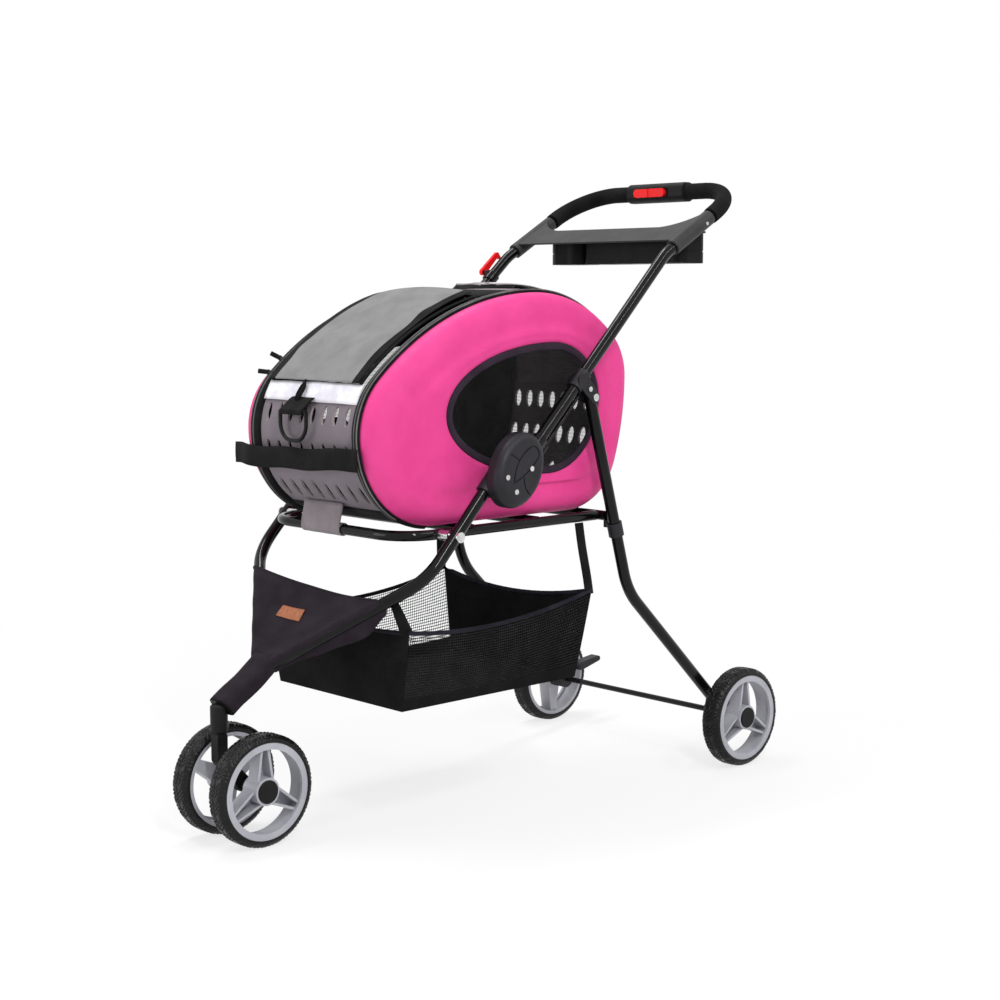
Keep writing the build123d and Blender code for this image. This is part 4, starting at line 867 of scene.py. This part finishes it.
def tyre_profile():
    """(across, radius) points from one side's bead over the tread to the other's."""
    half = [(TYRE_HALF - 0.3, RIM_RADIUS), (TYRE_HALF, RIM_RADIUS + 0.6)]
    for share in shares(8):
        a = radians(90 * share)
        half.append((TYRE_HALF - SHOULDER + SHOULDER * cos(a), WHEEL_RADIUS - SHOULDER + SHOULDER * sin(a)))
    half += [(w, WHEEL_RADIUS) for w in (7, 6, 5, 4, 3, 2.2, 1.4, 0.7)]
    return half + [(0, WHEEL_RADIUS)] + [(-w, r) for w, r in half[::-1]]


def groove(share, w):
    """Depth from 0 to 1 of the tread at a share of its group and a place across."""
    bend = 0.13 * sin(abs(w) * 0.42)
    lines = max(exp(-((share - at - bend) / 0.048) ** 2) for at in (0.18, 0.42, 0.66))
    rim_line = exp(-((abs(w) - 15.0 - 0.8 * sin(share * 2 * pi)) / 0.9) ** 2)
    middle = exp(-((w - 1.2 * sin(share * 2 * pi)) / 0.8) ** 2)
    return max(lines, 0.7 * rim_line, 0.8 * middle)


def make_tyre(name, x, y, body):
    profile = tyre_profile()
    count = TREAD_GROUPS * STEPS_PER_GROUP
    rows = []
    for i in range(count):
        a = 2 * pi * i / count
        share = (i % STEPS_PER_GROUP) / STEPS_PER_GROUP
        row = []
        for w, r in profile:
            radius = r - TREAD_DEPTH * groove(share, w) * smooth((r - TREAD_RADIUS) / 4)
            row.append((x + w, y + radius * cos(a), WHEEL_RADIUS + radius * sin(a)))
        rows.append(row)
    piece = face_out(grid(f"{name}_tread", rows, [tyre], wrap=True, close=True))
    attach(piece, body, "tyre", f"{name}_tyre")


# Hold-down strap, looped round the platform's front tube, its flap leaning on the carrier
HOLD_X, HOLD_WIDTH = -67, 95
PLATFORM_TUBE_Y, PLATFORM_TUBE_Z, HOLD_LOOP = -265.0, 455.0, 9.2
HOLD_FLAP = ((-266.6, 495), (-267.6, 488), (-270.6, 475), (-273.2, 464))  # y, z


def make_platform_strap():
    line = list(HOLD_FLAP)
    for share in shares(24):
        a = radians(180 + 330 * share)
        line.append((PLATFORM_TUBE_Y + HOLD_LOOP * cos(a), PLATFORM_TUBE_Z + HOLD_LOOP * sin(a)))
    rows = []
    for k in range(21):
        x = HOLD_X + HOLD_WIDTH * k / 20
        rows.append([(x, y - 0.5 * sin(k * 0.9 + z * 0.05), z) for y, z in line])
    strap = thicken(grid("hold_down_strap", rows, [webbing_grey]), 1.8, offset=0.0)
    attach(strap, "platform", "grey_webbing", "platform_strap")


# Apron: cloth over the two converging legs, wrapped round the tubes, with a sagging top hem
LEG_BEND, LEG_MERGE, LEG_END = (-252.0, 397.0), (-402.0, 256.0), (-468.0, 212.0)  # y, z
LEG_HALF, MERGE_HALF, TUBE_RADIUS, CLOTH_GAP = 208.0, 11.0, 9.5, 1.6
APRON_STEPS, APRON_COLUMNS, APRON_START = 40, 26, 4
WRAP_ANGLES = [radians(a) for a in range(-30, 91, 20)]
FALL = (1, 0.75, 0.5, 0.25)  # shares of the drop of the side edges, from the lowest up
SLEEVE_ROWS, SLEEVE_SIDES, SLEEVE_LENGTH, SLEEVE_HALF, SLEEVE_HIGH = 12, 28, 92, 24.4, 13.4
PATCH_X, PATCH_V, PATCH_SIZE, PATCH_SHEAR, PATCH_LIFT = -41, 88, (54, 21), 3, 1.4
APRON_LOW = Vector((0, *LEG_MERGE))
APRON_LENGTH = (Vector((0, *LEG_BEND)) - APRON_LOW).length
APRON_UP = (Vector((0, *LEG_BEND)) - APRON_LOW).normalized()
APRON_OUT = X_AXIS.cross(APRON_UP)


def on_apron(x, v, depth):
    """A point from its places across, up the slope and out of the legs' plane."""
    return tuple(APRON_LOW + X_AXIS * x + APRON_UP * v + APRON_OUT * depth)


def leg_half(v):
    """Half the distance between the legs at a place up the slope."""
    return MERGE_HALF + (LEG_HALF - MERGE_HALF) * v / APRON_LENGTH


def apron_hem(u):
    """How far up the slope the hem lies, u from -1 on the far leg to 1 on the near one."""
    return 157 - 10 * u - 5 * (1 - u * u)


def apron_depth(u, t, wrap):
    """Height over the legs' plane: the cloth hangs slack between the tubes, with soft creases."""
    slack = 1 - u * u
    crease = wobble(u * 6 + t * 8, u * 3 - t * 13, t * 5)
    return wrap - 7.0 * slack * smooth(t / 0.3) + 1.9 * slack * crease


def apron_row(t):
    """A row across the apron, with the edges that hang down beside the legs."""
    wrap = TUBE_RADIUS + CLOTH_GAP + 0.5 * sin(t * 23)
    taper = smooth(t * 1.1) * (1 - 0.75 * smooth((t - 0.82) / 0.18))
    drop = (22 + 1.5 * sin(t * 19)) * taper + 4
    ring = [(wrap * cos(a), wrap * sin(a)) for a in WRAP_ANGLES]

    def place(u):
        v = APRON_START + (apron_hem(u) - APRON_START) * t
        return v, leg_half(v)

    def edge(side):
        v, half = place(side)
        x, depth = ring[0]
        down, back = drop * APRON_UP.z, drop * APRON_OUT.z
        hanging = [(side * (half + x), v - down * f, depth - back * f) for f in FALL]
        return hanging + [(side * (half + x), v, depth) for x, depth in ring]

    row = edge(-1)
    for k in range(1, APRON_COLUMNS):
        u = -1 + 2 * k / APRON_COLUMNS
        v, half = place(u)
        row.append((u * half, v, apron_depth(u, t, wrap)))
    return [on_apron(*point) for point in row + edge(1)[::-1]]


def make_apron():
    rows = [apron_row(t) for t in shares(APRON_STEPS)]
    apron = grid("apron_cloth", rows, [apron_nylon])
    thicken(apron, 1.2, offset=0.0, subdivide=1)
    attach(apron, "front_frame", "black_fabric", "apron")
    hem = tube("apron_hem", rows[-1][len(FALL):-len(FALL)], 2.2, apron_nylon, sides=8)
    attach(hem, "front_frame", "black_fabric")


def make_stem_sleeve():
    """A soft sleeve round the merged legs, from the apron's lower end to the caster."""
    stem = (Vector((0, *LEG_END)) - APRON_LOW).normalized()
    rows = []
    for t in shares(SLEEVE_ROWS):
        centre = APRON_LOW + APRON_UP * 12 * (1 - smooth(t * 3)) + stem * (SLEEVE_LENGTH * t - 4)
        lift = APRON_OUT * (1 - smooth(t * 2)) + X_AXIS.cross(-stem) * smooth(t * 2)
        row = []
        for k in range(SLEEVE_SIDES):
            a = 2 * pi * k / SLEEVE_SIDES
            swell = 1 + 0.03 * sin(a * 3 + t * 9)
            wide, high = (copysign(abs(f(a)) ** 0.6, f(a)) * swell for f in (cos, sin))
            row.append(tuple(centre + X_AXIS * wide * SLEEVE_HALF + lift.normalized() * high * SLEEVE_HIGH))
        rows.append(row)
    sleeve = thicken(grid("stem_sleeve", rows, [apron_nylon], wrap=True), 1.0, offset=1.0)
    attach(sleeve, "front_frame", "black_fabric")


def make_patch():
    """A bare leather patch, sheared a little, that follows the apron's creases."""
    rows = []
    for t in shares(8):
        v = PATCH_V + PATCH_SIZE[1] * t
        row = []
        for share in shares(12):
            x = PATCH_X - PATCH_SHEAR * t + PATCH_SIZE[0] * share
            u = x / leg_half(v)
            depth = apron_depth(u, (v - APRON_START) / (apron_hem(u) - APRON_START), TUBE_RADIUS + CLOTH_GAP)
            row.append(on_apron(x, v, depth + PATCH_LIFT))
        rows.append(row)
    patch = thicken(grid("leather_patch", rows, [leather]), 1.6, offset=1.0)
    attach(patch, "front_frame", "black_fabric")


# Basket: a tub of cloth panels on a sagging rim, with mesh sides; corners go round from the front left
RIM_CORNERS = ((178, -262, 314), (-178, -262, 314), (-178, 122, 334), (180, 124, 336))
BASE_X, BASE_Y, BASE_Z = 152, (-256, 114), 190
BASE_CORNERS = [(x * BASE_X, BASE_Y[y], BASE_Z) for x, y in ((1, 0), (-1, 0), (-1, 1), (1, 1))]
RIM_SAG, RIM_PULL = (10, 20, 20, 20), 5.0
# Name, outward direction, flat size in metres and replaced node of each wall
WALLS = (("basket_front", (0, -1), (0.345, 0.13), ["basket"]),
         ("basket_side_right", (-1, 0), (0.39, 0.13), []),
         ("basket_rear", (0, 1), (0.345, 0.13), []),
         ("basket_side_left", (1, 0), (0.39, 0.13), []))
WALL_ROWS, WALL_COLUMNS, WALL_BULGE, WALL_END = 24, 32, 7, 0.9999
BORDER_ROWS = 3  # of cloth below the mesh of a side
BASE_STEPS, BASE_SAG = 24, 4
FOLD_ANCHOR, FOLD_KEEP = (0, -0.262, 0.19), 0.12  # the folded basket gathers at the front legs


def attach_squash(obj, *replaced):
    attach(obj, "front_frame", "black_fabric", *replaced)
    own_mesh(obj)
    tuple(FOLD_ANCHOR)


def along_corners(corners, u):
    """A point between corners, u from 0 to 4."""
    a, b = corners[int(u) % 4], corners[(int(u) + 1) % 4]
    return [p + (q - p) * (u - int(u)) for p, q in zip(a, b)]


def basket_rim(u):
    """A point of the rim, which sags and is drawn in between its corners."""
    x, y, z = along_corners(RIM_CORNERS, u)
    wall, t = int(u) % 4, u - int(u)
    pull = RIM_PULL * 4 * t * (1 - t)
    nx, ny = WALLS[wall][1]
    return x - nx * pull, y - ny * pull, z - RIM_SAG[wall] * 4 * t * (1 - t)


def make_basket_wall(wall):
    name, (nx, ny), size, replaced = WALLS[wall]
    rows = []
    for v in shares(WALL_ROWS):
        row = []
        for k in range(WALL_COLUMNS + 1):
            u = wall + WALL_END * k / WALL_COLUMNS
            inner = smooth(v / 0.2) * smooth(min(k, WALL_COLUMNS - k) / 4)
            bulge = WALL_BULGE * sin(pi * v) * sin(pi * k / WALL_COLUMNS)
            bulge += 1.2 * inner * wobble(k * 0.5 + v * 3, v * 7 - k * 0.3)
            x, y, z = (p + (q - p) * v for p, q in zip(along_corners(BASE_CORNERS, u), basket_rim(u)))
            row.append((x + nx * bulge, y + ny * bulge, z - 3 * sin(pi * v)))
        rows.append(row)
    piece = grid(name, rows, [nylon, basket_net], pick=lambda r, _: 1 if nx and r > BORDER_ROWS else 0)
    attach_squash(piece, *replaced)


def make_basket_base():
    rows = []
    for v in shares(BASE_STEPS):
        y = BASE_Y[0] + (BASE_Y[1] - BASE_Y[0]) * v
        rows.append([(BASE_X * (2 * u - 1), y, BASE_Z - BASE_SAG * sin(pi * u) * sin(pi * v))
                     for u in shares(BASE_STEPS)])
    base = grid("basket_base", rows, [nylon])
    attach_squash(base)


def make_basket_trim():
    rim = [basket_rim(u / 16) for u in range(64)]
    attach_squash(tube("basket_trim", rim, 3.4, trim_cloth, closed=True, flat=0.6))


def make_basket_straps(side, name, *replaced):
    """A strap from the rim's rear corner up to the frame, and a hanger at its front corner."""
    across = (-1, -0.3, 0.3, 1)
    rows = []
    for t in shares(12):
        x = side * (180 - 11 * t + 0.6 * sin(t * 7))
        rows.append([(x, 104 + 9 * w + 14 * (1 - t), 330 + 116 * t) for w in across])
    strap = thicken(grid(f"rear_strap_{name}", rows, [webbing]), 1.8, offset=0.0)
    attach_squash(strap, *replaced)
    rows = []
    for t in shares(8):
        x, y, z = side * (172 - 14 * t), -262 - 14 * t, 312 + 48 * t
        rows.append([(x, y + w * (10 - 4 * t), z + w * 4) for w in across])
    hanger = thicken(grid(f"hanger_{name}", rows, [nylon]), 1.6, offset=0.0)
    attach_squash(hanger)


for side, name in SIDES:
    make_shell(side, name)
    make_window_net(side, name)
make_belt(1, "left", "belt")
make_belt(-1, "right")
make_front_band()
make_belt_floor()
make_roof_net()
make_rear_panel()
make_pocket()
make_flap()
make_front_strap()
make_ring_tab()
make_elastic_loop()
make_pull("pull_rear", (125, 30, 821), (-0.25, -1, 0.12), (1, -0.3, 0.6))
make_pull("pull_far_upper", (-127, *front_point(706, 5.5)), (-1, -0.5, 0.5), (0, 0.2, 1))
make_pull("pull_far_lower", (-127, *front_point(686, 5.5)), (-1, -0.5, 0.1), (0, 0.2, 1))
for end, wheel_x, axle_y in (("front", FRONT_WHEEL_X, -AXLE_Y), ("rear", REAR_WHEEL_X, AXLE_Y)):
    for side, name in SIDES:
        make_tyre(f"{end}_{name}", side * wheel_x, axle_y, f"{end}_wheel_{name}")
make_platform_strap()
make_apron()
make_stem_sleeve()
make_patch()
for wall in range(len(WALLS)):
    make_basket_wall(wall)
make_basket_base()
make_basket_trim()
make_basket_straps(1, "left", "basket_straps")
make_basket_straps(-1, "right")


# Stage, light and camera, in metres
FLOOR_HALF = 30.0
SHADOW_FROM, WHITE_FROM, SHADOW_GLOW = 0.7, 1.8, 0.74  # distances, and the floor's glow near the object
WORLD_LIGHT = 0.55
WHITE = (1, 1, 1, 1)
# Name, place, target, size and watts
LAMPS = (("key", (2.6, -1.2, 2.6), (0, 0, 0.5), (0.25, 1.8), 55),
         ("fill", (-1.3, -2.8, 1.0), (0, 0, 0.5), (1.8, 1.8), 30),
         ("top", (-0.8, -0.2, 3.1), (0, 0, 0.5), (2.0, 0.35), 40),
         ("edge", (2.2, 0.8, 2.9), (0, 0, 0.6), (1.8, 0.12), 20))
CAMERA_PLACE, CAMERA_DOWN, CAMERA_TURN = (2.1737, -1.9623, 0.8126), 6.538, 46.655
LENS, SENSOR = 64.8, 36.0  # millimetres


def seen_rays(tree):
    """1 for rays from the camera, and for what is seen in gloss or through glass."""
    path = add_node(tree, "LightPath")
    total = path.outputs["Is Camera Ray"]
    for name in ("Is Glossy Ray", "Is Transmission Ray"):
        total = calculate(tree, "MAXIMUM", total, path.outputs[name])
    return total


def make_floor():
    """A pale floor that goes to white away from the object and keeps its shadow near it."""
    mesh = bpy.data.meshes.new("floor")
    corners = [(x * FLOOR_HALF, y * FLOOR_HALF, 0) for x, y in ((-1, -1), (1, -1), (1, 1), (-1, 1))]
    mesh.from_pydata(corners, [], [(0, 1, 2, 3)])
    floor = add_object("floor", mesh)
    mat, shader, tree = material("floor", 0.9, 0.8, specular=0.0)
    glow = add_node(tree, "Emission", Color=WHITE, Strength=1.0)
    away = add_node(tree, "VectorMath", operation="LENGTH")
    link(coords(tree), away.inputs[0])
    share = mask(tree, away.outputs["Value"], SHADOW_FROM, WHITE_FROM, SHADOW_GLOW)
    mixer = add_node(tree, "MixShader")
    link(calculate(tree, "MULTIPLY", share, seen_rays(tree)), mixer.inputs["Fac"])
    link(shader.outputs[0], mixer.inputs[1])
    link(glow.outputs[0], mixer.inputs[2])
    link(mixer.outputs[0], tree.nodes["Material Output"].inputs["Surface"])
    mesh.materials.append(mat)


def make_world():
    world = bpy.data.worlds.new("studio")
    bpy.context.scene.world = world
    world.use_nodes = True
    tree = world.node_tree
    back = tree.nodes["Background"]
    link(mask(tree, seen_rays(tree), 0.0, 1.0, WORLD_LIGHT), back.inputs["Strength"])
    back.inputs["Color"].default_value = WHITE


def make_lamp(name, place, target, size, power):
    data = bpy.data.lights.new(name, "AREA")
    data.shape = "RECTANGLE"
    data.size, data.size_y = size
    data.energy = power
    lamp = add_object(name, data)
    lamp.location = place
    lamp.rotation_euler = (Vector(target) - Vector(place)).to_track_quat("-Z", "Y").to_euler()


def make_camera():
    lens = bpy.data.cameras.new("camera")
    lens.lens = LENS
    lens.sensor_width = SENSOR
    camera = add_object("camera", lens)
    camera.location = CAMERA_PLACE
    camera.rotation_euler = (radians(90 - CAMERA_DOWN), 0, radians(CAMERA_TURN))
    bpy.context.scene.camera = camera


make_floor()
make_world()
for lamp in LAMPS:
    make_lamp(*lamp)
make_camera()
bpy.context.scene.view_settings.view_transform = "Standard"
